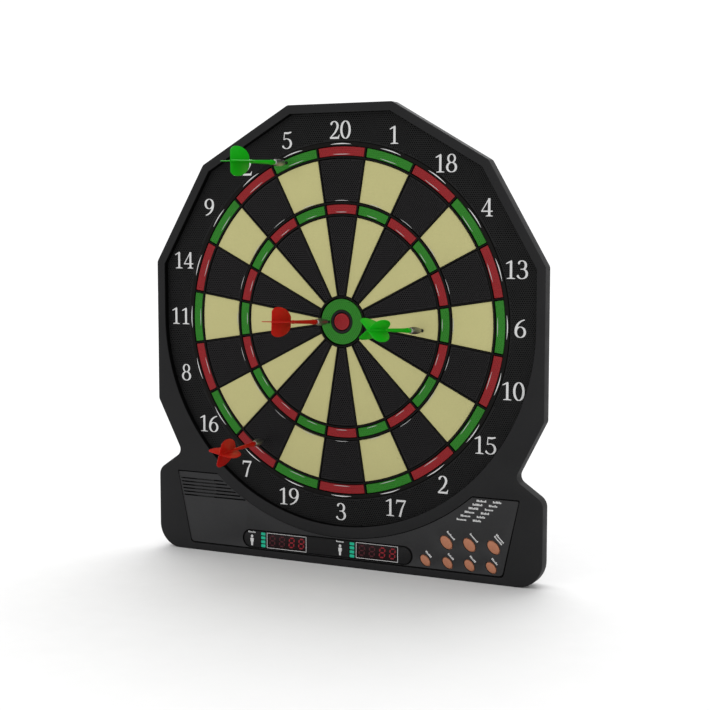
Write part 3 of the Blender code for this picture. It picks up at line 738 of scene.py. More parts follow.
SLITS = 5
SLIT_SPAN = (-96, -60)
SLIT_TOP = -212
SLIT_PITCH = 4.2
SLIT_HALF = 0.8


def keyhole_outline(side):
    """A round entry with a narrow slot above it, in which a screw's neck hangs."""
    x, z = side * KEYHOLE[0], KEYHOLE[1]
    half, rise = KEYHOLE_SLOT
    start = asin(half / KEYHOLE_RADIUS)

    def outline(grown):
        turn = tau - 2 * start
        entry = [polar(KEYHOLE_RADIUS + grown, start + turn * i / 24, (x, z)) for i in range(25)]
        neck = [polar(half + grown, -pi / 2 + pi * i / 12, (x, z + rise)) for i in range(13)]
        return entry + neck
    return outline


def ribbed_field(shell):
    """The sunken middle of the back with its raised hub, ring and spokes; returns its mouth."""
    y_edge = Y_WALL - FIELD_EDGE
    rise = [(0, FIELD_FLOOR), (0, y_edge), (-FIELD_EDGE, Y_WALL)]
    mouth, floor = shell.loft(bore(FIELD_RADIUS, 120), [(FIELD_EDGE, Y_WALL), (0, y_edge), (0, FIELD_FLOOR)])
    ring_out, ring_in = shell.loft(bore(RIB_RING[1], 120), rise), shell.loft(disc(RIB_RING[0], 120), rise)
    shell.cap(ring_out[1], [ring_in[1]])

    def raised(outline):
        base, top = shell.loft(outline, rise)
        shell.cap(top)
        return base

    spokes = {}
    for zone, (inner, outer) in SPOKE_ENDS.items():
        half = (outer - inner) / 2
        rib = rectangle((-SPOKE_HALF, SPOKE_HALF), (-half, half), 1.5)
        angles = [tau * (index + 0.5) / SPOKES for index in range(SPOKES)]
        spokes[zone] = [raised(growing(turned(rib, polar(inner + half, a), -a), 18)) for a in angles]
    hub = raised(bore(HUB_RADIUS, 64))
    shell.cap(floor, [ring_out[0]] + spokes["far"])
    shell.cap(ring_in[0], spokes["near"] + [hub])
    return mouth


def battery_bay(shell):
    """The walls of the bay behind the hatch; returns its mouth and its end inside the cover."""
    hatch, inner, outer = (rounded(rectangle(*BAY[key])) for key in ("hatch", "inner", "outer"))
    path = ((hatch, Y_WALL), (hatch, Y_COVER_INNER), (inner, Y_COVER_INNER), (inner, BAY_FRONT),
            (outer, BAY_FRONT), (outer, Y_COVER_INNER))
    rings = [shell.ring(loop, y) for loop, y in path]
    shell.skin(rings)
    return rings[0], rings[-1]


def screw_well(shell, place):
    """A deep hole for a screw, with a sleeve around it inside the cover."""
    mouth = shell.pocket(bore(WELL_RADIUS, 28, place), Y_WALL, WELL_FLOOR, 0.3)
    root, tip = shell.loft(bore(WELL_RADIUS + WELL_WALL, 28, place), [(0, Y_COVER_INNER), (0, WELL_END)])
    shell.cap(tip)
    return mouth, root


def make_rear_cover():
    shell = Shell()
    flange, chamfer = 0.2, 0.3
    stations = [(flange + chamfer, Y_FLANGE), (flange, Y_FLANGE + chamfer), (flange, Y_FLANGE_BACK - chamfer),
                (flange + chamfer, Y_FLANGE_BACK), (COVER_INSET, Y_FLANGE_BACK)]
    stations += [(COVER_INSET + d, y) for d, y in reversed(round_over(COVER_EDGE, Y_WALL, -1))]
    rim_front, back = shell.loft(housing_outline, stations)
    lining = COVER_INSET + COVER_WALL
    lining_front, lining_floor = shell.loft(housing_outline, [(lining, Y_FLANGE), (lining, Y_COVER_INNER)])
    shell.wall(rim_front, lining_front)
    field = ribbed_field(shell)
    edge = [(KEYHOLE_EDGE, Y_WALL), (0, Y_WALL - KEYHOLE_EDGE), (0, Y_COVER_INNER)]
    openings = [shell.loft(keyhole_outline(side), edge) for side in (-1, 1)]
    openings += [screw_well(shell, place) for place in SCREW_PLACES] + [battery_bay(shell)]
    recesses = [shell.pocket(growing(rectangle(*LABEL_RECESS, 2)), Y_WALL, Y_WALL - 0.4)]
    for index in range(SLITS):
        z = SLIT_TOP - SLIT_PITCH * index
        slit = rectangle(SLIT_SPAN, (z - SLIT_HALF, z + SLIT_HALF), 0.7)
        recesses.append(shell.pocket(growing(slit, 18), Y_WALL, Y_WALL - 1.2))
    shell.cap(back, [field] + [mouth for mouth, _ in openings] + recesses)
    shell.cap(lining_floor, [end for _, end in openings])
    shell.build("back_shell", HOUSING_BLACK, node="rear_cover")


def make_screws():
    """Round-headed screws with a cross recess, at the bottom of the wells."""
    y_shoulder, y_top = WELL_FLOOR + 1.3, WELL_FLOOR + 1.7
    head = [(0, WELL_FLOOR), (0, WELL_FLOOR + 0.7), (-0.35, y_shoulder), (-1.1, y_top)]
    half, arm = 0.35, 1.5
    cross = [(half, arm), (half, half), (arm, half), (arm, -half), (half, -half), (half, -arm)]
    cross += [(-x, -z) for x, z in cross]
    for index, place in enumerate(SCREW_PLACES):
        shell = Shell()
        slot = turned(cross, place, RANDOM.uniform(0, tau))
        mouth, floor = shell.ring(slot, y_top), shell.ring(slot, y_top - 1.1)
        shell.wall(mouth, floor, smooth=False)
        shell.cap(floor)
        base, top = shell.loft(bore(3.0, 28, place), head)
        shell.cap(top, [mouth])
        shell.cap(base)
        shell.build(f"cover_screw_{index + 1}", SCREW_STEEL)


def make_battery_door():
    """The door, with finger grooves and an arrow that points to its hinge."""
    low, high = place_of("battery_door")
    shell = Shell()
    middle = (low.x + high.x) / 2
    reach, half, pitch, first_z = 11, 0.55, 2.2, low.z + 6
    recesses = []
    for index in range(5):
        z = first_z + pitch * index
        groove = rectangle((middle - reach, middle + reach), (z - half, z + half), 0.5)
        recesses.append(shell.pocket(growing(groove, 30), high.y, high.y - 0.6))
    base_z, tip_z, base_half, radius = low.z + 20, low.z + 26, 4, 0.4
    arrow = [(middle, tip_z, radius), (middle + base_half, base_z, radius),
             (middle - base_half, base_z, radius)]
    recesses.append(shell.pocket(growing(arrow, 30), high.y, high.y - 0.5))
    stations = round_over(0.3, high.y, -1, 3) + [(0, low.y)]
    shell.plate(shrinking(node_rectangle("battery_door", 1.4)), stations, mouths=recesses)
    shell.build("hatch_door", HOUSING_BLACK, "battery_door", "battery_door")


# ---- target ----

DART_HOLE = 1.75
DART_HOLE_DEPTH = 7.6
FIELD_MARGIN = 1.3
BULL_MARGIN = 1.2
RING_MARGIN = 1.2


def dimple_lattice():
    """Centres of all dimples: straight rows along X, every second row shifted by half a pitch."""
    rows = int(APOTHEM / ROW_PITCH)
    columns = int(APOTHEM / HOLE_PITCH)
    z, x = np.mgrid[-rows:rows + 1, -columns:columns + 1].astype(float)
    return (x + 0.5 * (z % 2)) * HOLE_PITCH, z * ROW_PITCH


LATTICE_X, LATTICE_Z = dimple_lattice()
LATTICE_R = np.hypot(LATTICE_X, LATTICE_Z)
LATTICE_ANGLE = np.arctan2(LATTICE_X, LATTICE_Z)


def picked(mask):
    return list(zip(LATTICE_X[mask].tolist(), LATTICE_Z[mask].tolist()))


def band_dimples(band, centre_angle):
    """Dimples that lie wholly on one field."""
    inner, outer = BANDS[band]
    away = np.abs((LATTICE_ANGLE - centre_angle + pi) % tau - pi)
    border = LATTICE_R * np.sin(np.clip(SECTOR / 2 - away, -1, 1))
    inside = (LATTICE_R > inner + FIELD_MARGIN) & (LATTICE_R < outer - FIELD_MARGIN)
    return picked(inside & (border > SEGMENT_SIDE[band] + FIELD_MARGIN))


def ring_dimples():
    """Dimples of the number ring, inside the bezel."""
    reach = np.full_like(LATTICE_R, -1e9)
    for k in range(-3, 4):
        side = radians(30 * k)
        reach = np.maximum(reach, LATTICE_X * sin(side) + LATTICE_Z * cos(side))
    inside = np.where(LATTICE_Z > 0, reach, LATTICE_R) < BEZEL - RING_MARGIN
    return picked(inside & (LATTICE_R > RING_INNER + RING_MARGIN + 0.4))


def make_number_ring():
    shell = Shell()
    inner = shell.loft(bore(RING_INNER, 160), round_over(0.4, Y_TARGET, steps=2) + [(0, Y_RING_BACK)])
    shell.plate(lambda grown: target_outline(RING_OUTER + grown), [(0, Y_TARGET), (0, Y_RING_BACK)],
                [inner], shell.pits(ring_dimples(), HOLE))
    shell.build("catch_ring", RING_BLACK, node="number_ring")


def make_spider():
    """The grid of thin walls: a round plate with a hole for every field and for the bull."""
    shell = Shell()
    edge = round_over(0.4, Y_SPIDER, steps=3) + [(0, Y_SPIDER_BACK)]
    openings = [shell.loft(bore(SPIDER_HUB, 80), edge)]

    def cell(inner, outer, angle):
        return lambda grown: band_outline(inner - grown, outer + grown, SPIDER_HALF - grown, angle)

    for index in range(len(NUMBERS)):
        for inner, outer in BANDS.values():
            outline = cell(inner - CELL_CLEARANCE, outer + CELL_CLEARANCE, index * SECTOR)
            openings.append(shell.loft(outline, edge))
    shell.plate(disc(SPIDER_OUTER, 160), round_over(0.5, Y_SPIDER, steps=3) + [(0, Y_SPIDER_BACK)], openings)
    shell.build("cell_grid", SPIDER_BLACK, node="spider")


def dart_lines():
    """Entry point, outward direction and the pierced body of each dart, from its pull joint."""
    lines = {}
    for joint in frame["joints"]:
        if joint["name"].startswith("pull_"):
            name = joint["child"]
            out = Vector(joint["axis"]).normalized()
            low, high = place_of(name + "_barrel")
            middle = (low + high) / 2
            lines[name] = (middle + out * ((Y_TARGET - middle.y) / out.y), out, joint["parent"])
    return lines


DART_LINES = dart_lines()


def dart_sleeves(shell, body, inner, outer):
    """Holes for the tips of the darts that stand in one field; returns their mouths."""
    mouths = []
    for entry, out, pierced in DART_LINES.values():
        if pierced == body and inner < hypot(entry.x, entry.z) < outer:
            deep = entry - out * (DART_HOLE_DEPTH / -out.y)
            mouth = shell.ring(circle(DART_HOLE, 20, (entry.x, entry.z)), Y_TARGET)
            base = shell.ring(circle(DART_HOLE, 20, (deep.x, deep.z)), deep.y)
            shell.wall(mouth, base)
            shell.cap(base)
            mouths.append(mouth)
    return mouths


def clear_of_darts(centres):
    entries = [(entry.x, entry.z) for entry, _, _ in DART_LINES.values()]
    reach = DART_HOLE + HOLE[0] + 0.3
    return [c for c in centres if all(dist(c, entry) > reach for entry in entries)]


SEGMENT_STATIONS = round_over(0.35, Y_TARGET, steps=3) + [(0, Y_SEGMENT_BACK)]


def make_segment(band, index, look, hole):
    """One field of a number, with its dimples unless hole is None."""
    inner, outer = BANDS[band]
    side, angle = SEGMENT_SIDE[band], index * SECTOR
    body = f"sector_{NUMBERS[index]:02d}"
    shell = Shell()
    mouths = dart_sleeves(shell, body, inner, outer)
    if hole:
        mouths += shell.pits(clear_of_darts(band_dimples(band, angle)), hole)
    shell.plate(lambda inward: band_outline(inner + inward, outer - inward, side + inward, angle),
                SEGMENT_STATIONS, mouths=mouths)
    shell.build(f"{band}_{NUMBERS[index]:02d}", look, body, body)


def make_segments():
    """Black and cream fields by turns, with red and green scoring bands."""
    for index in range(len(NUMBERS)):
        dark = index % 2 == 0
        single = (SEGMENT_BLACK, HOLE) if dark else (SEGMENT_CREAM, None)
        scoring = (TARGET_RED if dark else TARGET_GREEN, FAINT_HOLE)
        for band in BANDS:
            make_segment(band, index, *(scoring if band in ("double", "triple") else single))


def make_bull_part(name, body, outer, inner, count, look):
    """A round field of the bull; inner is the radius of its hole, or 0."""
    shell = Shell()
    openings = [shell.loft(bore(inner, count), SEGMENT_STATIONS)] if inner else []
    mouths = dart_sleeves(shell, body, inner, outer)
    inside = LATTICE_R < outer - BULL_MARGIN
    if inner:
        inside &= LATTICE_R > inner + BULL_MARGIN
    mouths += shell.pits(clear_of_darts(picked(inside)), FAINT_HOLE)
    shell.plate(disc(outer, count), SEGMENT_STATIONS, openings, mouths)
    shell.build(name, look, body, body)


def make_bull():
    make_bull_part("bull_single", "bull_outer", BULL_OUTER, BULL_GREEN, 72, TARGET_GREEN)
    make_bull_part("bull_collar", "bull_outer", BULL_COLLAR[1], BULL_COLLAR[0], 72, SEGMENT_BLACK)
    make_bull_part("bull_double", "bull_inner", BULL_INNER, 0, 56, TARGET_RED)


def crescent(radius, half_degrees, width, bulge, centre_angle):
    """A thin sickle along a circle; bulge is 1 outwards and -1 inwards."""
    count, end_width = 12, 0.12
    edge, belly = [], []
    for k in range(count + 1):
        t = 2 * k / count - 1
        angle = centre_angle + radians(half_degrees) * t
        edge.append(polar(radius, angle))
        belly.append(polar(radius + bulge * (end_width + (width - end_width) * (1 - t * t)), angle))
    return edge + belly[::-1]


def make_glints():
    """Painted highlights: white sickles beside the scoring bands, one per sector, raised like print, that
    stand for glints on the rounded edges of the fields.
    """
    for index, number in enumerate(NUMBERS):
        angle = index * SECTOR
        ink(f"glint_outer_{number:02d}", [crescent(173.5, 3.7, 0.95, 1, angle)], Y_SPIDER)
        inner_glints = [crescent(118.75, 3.6, 0.55, 1, angle), crescent(164.1, 3.2, 0.65, -1, angle),
                 crescent(107.9, 3.2, 0.55, -1, angle)]
        ink(f"glint_inner_{number:02d}", inner_glints, Y_TARGET, GLINT_GREY, f"sector_{number:02d}")


# ---- numbers: pen strokes in a cell of height 1 ----

THICK = 0.125
THIN = 0.04
DIGIT_CELL = 0.69
DIGIT_STRETCH = 1.07


def directions(points):
    """The direction of a line of points at each of them."""
    last = len(points) - 1
    ends = [(points[max(i - 1, 0)], points[min(i + 1, last)]) for i in range(last + 1)]
    return [Vector((after[0] - before[0], after[1] - before[1])).normalized() for before, after in ends]


def stroke(points, widths):
    """A pen stroke as a chain of four-sided pieces; widths are full, one per point."""
    sides = []
    for (x, z), width, along in zip(points, widths, directions(points)):
        half = width / 2
        sides.append(((x - along.y * half, z + along.x * half), (x + along.y * half, z - along.x * half)))
    return [[a[0], a[1], b[1], b[0]] for a, b in pairwise(sides)]


def pen(points, thick=THICK):
    """A stroke that is thick where it runs upright and thin where it runs level."""
    return stroke(points, [THIN + (thick - THIN) * abs(along.y) ** 1.4 for along in directions(points)])


def arc(centre, half_width, half_height, start, end, count=28):
    """Points on an ellipse, clockwise from the top, in degrees."""
    angles = [radians(start + (end - start) * k / count) for k in range(count + 1)]
    return [(centre[0] + half_width * sin(a), centre[1] + half_height * cos(a)) for a in angles]


def bezier(a, b, c, d, count=18):
    points = []
    for k in range(count + 1):
        t = k / count
        points.append(tuple((1 - t) ** 3 * p + 3 * (1 - t) ** 2 * t * q + 3 * (1 - t) * t * t * r + t ** 3 * s
                            for p, q, r, s in zip(a, b, c, d)))
    return points


def bar(x0, z0, x1, z1):
    return [[(x0, z0), (x1, z0), (x1, z1), (x0, z1)]]


def ball(x, z, radius):
    return [circle(radius, 16, (x, z))]


def foot(x, width):
    """The flat serif under a stem, with sloping brackets."""
    half, height, rise = width / 2, 0.035, 0.035
    return [[(x - half, 0), (x + half, 0), (x + half, height), (x + THICK / 2, height + rise),
             (x - THICK / 2, height + rise), (x - half, height)]]


def stem(x, top):
    return bar(x - THICK / 2, 0.02, x + THICK / 2, top)


def six():
    back = bezier((0.57, 0.965), (0.25, 0.89), (0.08, 0.60), (0.105, 0.31))
    return pen(back) + pen(arc((0.345, 0.3), 0.24, 0.28, -90, 270, 48))


def upside_down(polygons):
    return [[(DIGIT_CELL - x, 1 - z) for x, z in polygon] for polygon in polygons]


def glyphs():
    """Polygons of each digit, in a cell of height 1 and width DIGIT_CELL."""
    middle = DIGIT_CELL / 2
    return {
        "0": pen(arc((middle, 0.5), 0.245, 0.48, 0, 360, 56)),
        "1": stem(0.37, 0.95) + foot(0.37, 0.44)
             + stroke([(0.11, 0.81), (0.22, 0.865), (0.41, 0.975)], [0.04, 0.075, 0.06]),
        "2": pen(arc((0.325, 0.715), 0.2, 0.26, -65, 118))
             + stroke([(0.502, 0.593), (0.38, 0.36), (0.12, 0.09)], [THICK, 0.095, 0.05])
             + stroke([(0.07, 0.055), (0.35, 0.055), (0.61, 0.06)], [0.1, 0.11, 0.115])
             + stroke([(0.57, 0.09), (0.635, 0.23)], [0.08, 0.03]) + ball(0.155, 0.82, 0.052),
        "3": pen(arc((0.31, 0.74), 0.2, 0.235, -62, 158)) + pen(arc((0.31, 0.28), 0.255, 0.26, 5, 246))
             + bar(0.23, 0.505, 0.38, 0.55) + ball(0.145, 0.835, 0.052) + ball(0.095, 0.165, 0.056),
        "4": stem(0.47, 0.97) + foot(0.47, 0.36) + bar(0.04, 0.245, 0.65, 0.31)
             + stroke([(0.065, 0.28), (0.27, 0.62), (0.46, 0.955)], [0.05, 0.05, 0.06]),
        "5": pen(arc((0.31, 0.31), 0.265, 0.28, -28, 240))
             + stroke([(0.185, 0.92), (0.15, 0.53)], [0.045, 0.045])
             + stroke([(0.165, 0.915), (0.4, 0.905), (0.6, 0.955)], [0.095, 0.105, 0.07])
             + ball(0.095, 0.165, 0.052),
        "6": six(),
        "7": stroke([(0.08, 0.905), (0.34, 0.91), (0.62, 0.915)], [0.115, 0.11, 0.11])
             + stroke([(0.105, 0.88), (0.075, 0.73)], [0.06, 0.03])
             + stroke([(0.59, 0.91), (0.41, 0.5), (0.28, 0.0)], [0.05, 0.09, THICK]),
        "8": pen(arc((middle, 0.75), 0.185, 0.225, 0, 360, 48), THICK * 0.85)
             + pen(arc((middle, 0.275), 0.24, 0.255, 0, 360, 52)),
        "9": upside_down(six()),
    }


GLYPHS = glyphs()


def number_polygons(text, centre, height):
    """A printed number, its digits stretched sideways in their cells."""
    left = centre[0] - len(text) * DIGIT_CELL * height / 2
    bottom = centre[1] - height / 2
    polygons = []
    for index, digit in enumerate(text):
        start = left + index * DIGIT_CELL * height
        for shape in GLYPHS[digit]:
            polygons.append([(start + (DIGIT_CELL / 2 + DIGIT_STRETCH * (x - DIGIT_CELL / 2)) * height,
                              bottom + z * height) for x, z in shape])
    return polygons


def make_numbers():
    for index, number in enumerate(NUMBERS):
        centre = polar(NUMBER_RADIUS, index * SECTOR, NUMBER_NUDGES[number])
        ink(f"number_{number:02d}", number_polygons(str(number), centre, DIGIT_HEIGHT), Y_TARGET)


# ---- console ----

SEVEN = (((0.1, 1), (0.9, 1)), ((1, 0.93), (1, 0.57)), ((1, 0.43), (1, 0.07)), ((0.1, 0), (0.9, 0)),
         ((0, 0.43), (0, 0.07)), ((0, 0.93), (0, 0.57)), ((0.1, 0.5), (0.9, 0.5)))
CHANNEL_FRONT = Y_OVERLAY + 0.15
# Margins of the window in its slot; the wide ones above and at the right leave a painted shadow line in the
# channel.
WINDOW_MARGINS = {"left": 0.4, "right": 1.8, "top": 0.25}
LENS_RADIUS = 0.4
LIGHT_PITCH = 4.1
LIGHT_HEIGHT = 3.0


def seven_segments(centre, width, height):
    """The seven strokes of a display digit, pointed at their ends and leaning a little."""
    half, slant = 0.7, 0.08
    polygons = []
    for (x0, z0), (x1, z1) in SEVEN:
        a = Vector(((x0 - 0.5) * width, (z0 - 0.5) * height))
        b = Vector(((x1 - 0.5) * width, (z1 - 0.5) * height))
        along = (b - a).normalized()
        across = Vector((-along.y, along.x))
        points = [a, a + (along + across) * half, b + (across - along) * half, b,
                  b - (along + across) * half, a + (along - across) * half]
        polygons.append([(centre[0] + p.x + slant * p.y, centre[1] + p.y) for p in points])
    return polygons


def frame_polygons(x_span, z_span, width):
    (left, right), (low, high) = x_span, z_span
    return (bar(left, low, right, low + width) + bar(left, high - width, right, high)
            + bar(left, low, left + width, high) + bar(right - width, low, right, high))


def person(x, z):
    """A plain figure seen from the front: a head over half an outline and its mirror image."""
    half = [(1.5, 2.6), (2.0, 1.9), (1.7, -1.2), (1.15, -1.4), (1.0, -5.2)]
    outline = half + [(-side, up) for side, up in reversed(half)]
    return [circle(1.45, 20, (x, z + 4.4)), [(x + side, z + up) for side, up in outline]]


def make_window():
    """The window of both displays, in a near-black channel that is widest above and at the right: a painted
    shadow along the slot's upper and right walls.
    """
    low, high = place_of("display_window")
    top = high.z - 2 * SLOT_DROP - WINDOW_MARGINS["top"]
    span = (low.x + WINDOW_MARGINS["left"], high.x - WINDOW_MARGINS["right"])
    corners = rectangle(span, (low.z, top), (top - low.z) / 2 - 0.05)
    channel = Shell()
    inner = channel.loft(shrinking(corners), [(-0.1, CHANNEL_FRONT), (-0.1, Y_WINDOW_BACK)])
    channel.plate(shrinking(slot_corners()), [(0.1, CHANNEL_FRONT), (0.1, Y_WINDOW_BACK)], [inner])
    channel.build("window_shade_channel", PAINTED_SHADE_BLACK)
    window = Shell()
    edge = 0.05
    openings = [window.loft(growing(node_rectangle(node, LENS_RADIUS, 0.15), 30),
                            [(edge, Y_WINDOW), (0, Y_WINDOW + edge), (0, Y_WINDOW_BACK)])
                for node in ("display_left", "display_right", "status_lights_left", "status_lights_right")]
    window.plate(shrinking(corners), round_over(0.3, Y_WINDOW) + [(0, Y_WINDOW_BACK)], openings)
    window.build("console_window", WINDOW_GLOSS, node="display_window")


def make_displays():
    """Two displays of four digits each, the left pair dim, in printed frames."""
    for node in ("display_left", "display_right"):
        low, high = place_of(node)
        slab(node + "_lens", shrinking(node_rectangle(node, LENS_RADIUS), 30), low.y, high.y, 0.25,
             DISPLAY_LENS, node)
        pitch = (high.x - low.x) / 4
        for index in range(4):
            digit = seven_segments((low.x + pitch * (index + 0.5), (low.z + high.z) / 2), 5.4, 9.4)
            ink(f"{node}_digit_{index + 1}", digit, low.y, DIGIT_LIT if index > 1 else DIGIT_DIM)
        margin, line = 0.6, 0.5
        shapes = frame_polygons((low.x - margin, high.x + margin), (low.z - margin, high.z + margin), line)
        ink(node + "_frame", shapes, Y_WINDOW)


def make_status_lights():
    """A column of four lights beside each display, and the player's mark to the left of it."""
    for side in ("left", "right"):
        node = "status_lights_" + side
        low, high = place_of(node)
        middle_z = (low.z + high.z) / 2
        slab(node + "_holder", shrinking(node_rectangle(node, LENS_RADIUS), 30), low.y + 0.3, high.y, 0.2,
             LIGHT_HOLDER, node)
        for index in range(4):
            z = middle_z + LIGHT_PITCH * (index - 1.5)
            lens = rectangle((low.x + 0.1, high.x - 0.1), (z - LIGHT_HEIGHT / 2, z + LIGHT_HEIGHT / 2), 0.7)
            slab(f"{node}_lens_{index + 1}", shrinking(lens, 18), Y_LENS, Y_LENS + 0.5, 0.25, LIGHT_LENS)
        mark_x, mark_z = low.x - 10.2, middle_z + 0.8
        shapes = person(mark_x, mark_z - 2.2) + word(mark_x - 4.3, mark_z + 5.8, 7, 1.7)
        ink(f"player_mark_{side}", shapes, Y_WINDOW)


def make_buttons():
    """Oval caps: a dome above a straight skirt with a lip behind the panel."""
    bands, dome, lip_width, lip_depth = 7, 1.1, 1, 0.8
    for name in BUTTONS:
        low, high = place_of(name)
        centre, (long, short) = button_place(name)
        long, short = long - BUTTON_GAP, short - BUTTON_GAP
        shell = Shell()
        y_lip = high.y - lip_depth
        chain = [shell.ring(ellipse(centre, long + grown, short + grown), y)
                 for grown, y in ((lip_width, high.y), (lip_width, y_lip), (0, y_lip))]
        for k in range(bands):
            angle = pi / 2 * k / bands
            loop = ellipse(centre, long * cos(angle), short * cos(angle))
            chain.append(shell.ring(loop, low.y + dome * (1 - sin(angle))))
        shell.skin(chain)
        top = len(shell.points)
        shell.points.append((centre[0], low.y, centre[1]))
        for i in range(len(chain[-1])):
            shell.face((chain[-1][i - 1], chain[-1][i], top), smooth=True)
        shell.cap(chain[0])
        shell.build(name + "_cap", BUTTON_ORANGE, name, name)


def word(x, z, letters, size, lean=0.0):
    """A small unreadable word: a row of letter-sized blobs along a leaning line."""
    pitch, width, low_letter = size * 0.72, size * 0.52, 0.66
    polygons = []
    for k in range(letters):
        tall = size * (1.0 if k == 0 or RANDOM.random() < 0.3 else low_letter)
        left, right = k * pitch, k * pitch + width
        polygons.append(turned(((left, 0), (right, 0), (right, tall), (left, tall)), (x, z), lean))
    return polygons


def make_captions():
    """Unreadable captions beside the buttons and a block of short lines above them."""
    for name in BUTTONS:
        centre, (long, short) = button_place(name)
        upper = "top" in name
        away = short + (2.3 if upper else 1.7)
        polygons = []
        for line in range(2 if name == "button_top_3" else 1):
            (start,) = turned([(-long * 0.9, away + 2.6 * line)], centre, LEAN)
            polygons += word(*start, 8 if upper else 6, 1.9, LEAN)
        ink(name + "_caption", polygons, Y_OVERLAY)
    top_x, top_z, step_x, step_z, column = 146.3, -166.1, -4.05, -3.87, 16.5
    for line in range(6):
        x, z = top_x + step_x * line, top_z + step_z * line
        ink(f"guide_line_{line + 1}", word(x, z, 7, 2.0) + word(x + column, z, 6, 2.0), Y_OVERLAY)


# ---- darts: profiles are (radius, distance from the entry point) ----

FIN_ROOT = 77
FIN_WIDE = 102
FIN_TAIL = 114.8
FIN_RADIUS = 13.9
FIN_TAIL_RADIUS = 10.2
FIN_ROLL = {"dart_1": 0, "dart_2": 0, "dart_3": 42, "dart_4": -14}
GREEN_DARTS = ("dart_1", "dart_3")
SHAFT_RADIUS = 1.4
SHAFT = [(0, FIN_TAIL - 1), (0.9, FIN_TAIL - 1), (1.3, FIN_TAIL - 2), (SHAFT_RADIUS, FIN_ROOT),
         (1.9, FIN_ROOT - 3), (1.55, FIN_ROOT - 5), (1.7, 60), (2.0, 40), (2.2, 34), (2.5, 33.4), (2.5, 32.2),
         (2.3, 31.8), (2.3, 27.3), (0, 27.3)]
TIP = [(0, 5.7), (1.5, 5.7), (1.6, 4.4), (1.25, 4.1), (1.15, 0), (0.95, -3), (0.65, -6.2), (0, -6.8)]


def fin_reach(s):
    """Distance of a fin's edge from the dart's axis, at a place along the axis."""
    if s < FIN_WIDE:
        back = (FIN_WIDE - s) / (FIN_WIDE - FIN_ROOT)
        return 1.0 + (FIN_RADIUS - 1.0) * sqrt(max(1 - back ** 2, 0))
    fall = (s - FIN_WIDE) / (FIN_TAIL - FIN_WIDE)
    return FIN_RADIUS - (FIN_RADIUS - FIN_TAIL_RADIUS) * fall ** 3


def fin_outline(inward):
    """One fin, from inside the shaft to its rounded edge."""
    count, root_radius = 26, 0.6
    length = FIN_TAIL - FIN_ROOT - 1 - 2 * inward
    stations = [FIN_ROOT + 1 + inward + length * i / count for i in range(count + 1)]
    edge = [(max(fin_reach(s) - inward, 1.1), s) for s in stations]
    return [(root_radius, stations[-1])] + edge[::-1] + [(root_radius, stations[0])]


def make_flight(name, matrix):
    """A dart's shaft with four fins around its tail."""
    shell = Shell()
    shell.turn(SHAFT, 24)
    for quarter in range(4):
        start = len(shell.points)
        thickness = ((0.35, -0.3), (0, -0.12), (0, 0.12), (0.35, 0.3))
        rings = [shell.ring(fin_outline(inward), y) for inward, y in thickness]
        shell.skin(rings, smooth=False)
        shell.cap(rings[0])
        shell.cap(rings[-1])
        shell.transform(Matrix.Rotation(pi / 2 * quarter, 4, 'Z'), start)
    shell.transform(matrix)
    shell.build(name + "_fins", DART_GREEN if name in GREEN_DARTS else DART_RED, name, name + "_flight")


def barrel_profile():
    """A bulging metal barrel with rings cut round its grip."""
    profile = [(0, 27), (1.9, 27), (2.3, 26.6), (3.0, 25.2)]
    grooves, low, high = 9, 9.0, 23.6
    for k in range(grooves):
        s = high - (high - low) * k / (grooves - 1)
        bulge = 3.5 - 0.55 * abs((s - 17.5) / 8) ** 2.2
        groove = bulge - 0.18
        profile += [(bulge, s + 0.62), (bulge, s + 0.1), (groove, s - 0.12), (groove, s - 0.5)]
    return profile + [(2.8, 7.9), (2.3, 6.6), (1.9, 6.0), (0, 6.0)]


def make_darts():
    for name, (entry, out, _) in DART_LINES.items():
        side = Vector((0, 0, 1)).cross(out).normalized()
        basis = Matrix((side, out.cross(side), out)).transposed().to_4x4()
        roll = Matrix.Rotation(radians(FIN_ROLL[name]), 4, 'Z')
        matrix = Matrix.Translation(entry) @ basis @ roll
        make_flight(name, matrix)
        turnings = (("grip", barrel_profile(), 36, BARREL_METAL, "barrel"),
                    ("point", TIP, 20, TIP_PLASTIC, "tip"))
        for piece, profile, count, look, node in turnings:
            shell = Shell()
            shell.turn(profile, count)
            shell.transform(matrix)
            shell.build(f"{name}_{piece}", look, name, f"{name}_{node}")


# ---- inner parts ----

def paint_inner_parts():
    """Gives the carried-over frame nodes their finish."""
    looks = {"rubber_mat": RUBBER_GREY, "contact_membrane": FILM, "matrix_backplate": HARDBOARD,
             "keypad_mat": RUBBER_GREY, "control_board": CIRCUIT_BOARD, "speaker": SPEAKER_BLACK,
             "battery_1": CELL_WRAP, "battery_2": CELL_WRAP, "battery_3": CELL_WRAP}
    for node, look in looks.items():
        materials = frame["nodes"][node].data.materials
        materials.clear()
        materials.append(look.material)


# ---- stage, in metres ----

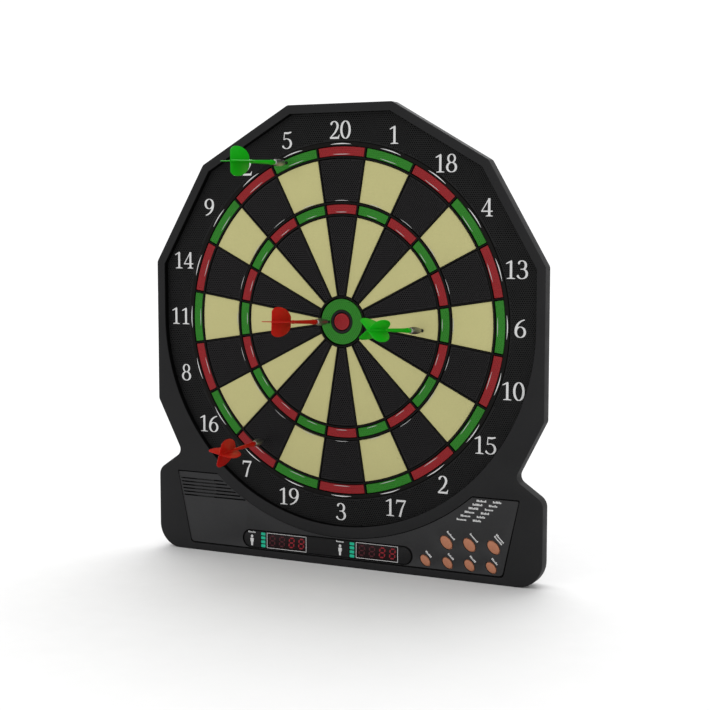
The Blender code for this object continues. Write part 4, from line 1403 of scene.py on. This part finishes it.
CAMERA_PLACE = (0.6468, -1.2853, 0.0988)
CAMERA_TURN = (radians(84.706), 0, radians(26.534))
FILL_PLACE = Vector((0.0, -2.4, 0.1))
FLOOR_REACH = 6.0


def make_floor():
    mesh = bpy.data.meshes.new("floor")
    floor_z = CAD_BOX[0].z
    corners = [(-FLOOR_REACH, -FLOOR_REACH, floor_z), (FLOOR_REACH, -FLOOR_REACH, floor_z),
               (FLOOR_REACH, FLOOR_REACH, floor_z), (-FLOOR_REACH, FLOOR_REACH, floor_z)]
    mesh.from_pydata(corners, [], [(0, 1, 2, 3)])
    look = finish("floor_white", (0.66, 0.66, 0.66), 0.7, mottle=0.01, grain_depth=0)
    mesh.materials.append(look.material)
    add_object("floor", mesh)


def make_lights():
    """A bright world, a weak disc in front and a wide sun from above."""
    world = bpy.data.worlds.new("studio")
    world.use_nodes = True
    background = world.node_tree.nodes["Background"]
    background.inputs["Color"].default_value = (1, 1, 1, 1)
    background.inputs["Strength"].default_value = 1.1
    bpy.context.scene.world = world

    fill = bpy.data.lights.new("fill", 'AREA')
    fill.shape = 'DISK'
    fill.size = 0.7
    fill.energy = 4
    lamp = add_object("fill", fill)
    lamp.location = FILL_PLACE
    lamp.rotation_euler = (-FILL_PLACE).to_track_quat('-Z', 'Y').to_euler()

    sun = bpy.data.lights.new("top_light", 'SUN')
    sun.energy = 2.0
    sun.angle = radians(60)
    add_object("top_light", sun).rotation_euler = (radians(-34), 0, radians(20))


def make_camera():
    """The photograph's viewing angle, with plain colours."""
    camera = bpy.data.cameras.new("camera")
    camera.lens = 73.3
    camera.sensor_width = 36
    camera.clip_end = 50
    holder = add_object("camera", camera)
    holder.location = CAMERA_PLACE
    holder.rotation_euler = CAMERA_TURN
    bpy.context.scene.camera = holder
    bpy.context.scene.view_settings.view_transform = 'Standard'


make_front_housing()
make_lining()
make_overlay()
make_rear_cover()
make_screws()
make_battery_door()
make_number_ring()
make_spider()
make_segments()
make_bull()
make_glints()
make_numbers()
make_window()
make_displays()
make_status_lights()
make_buttons()
make_captions()
make_darts()
paint_inner_parts()
make_floor()
make_lights()
make_camera()
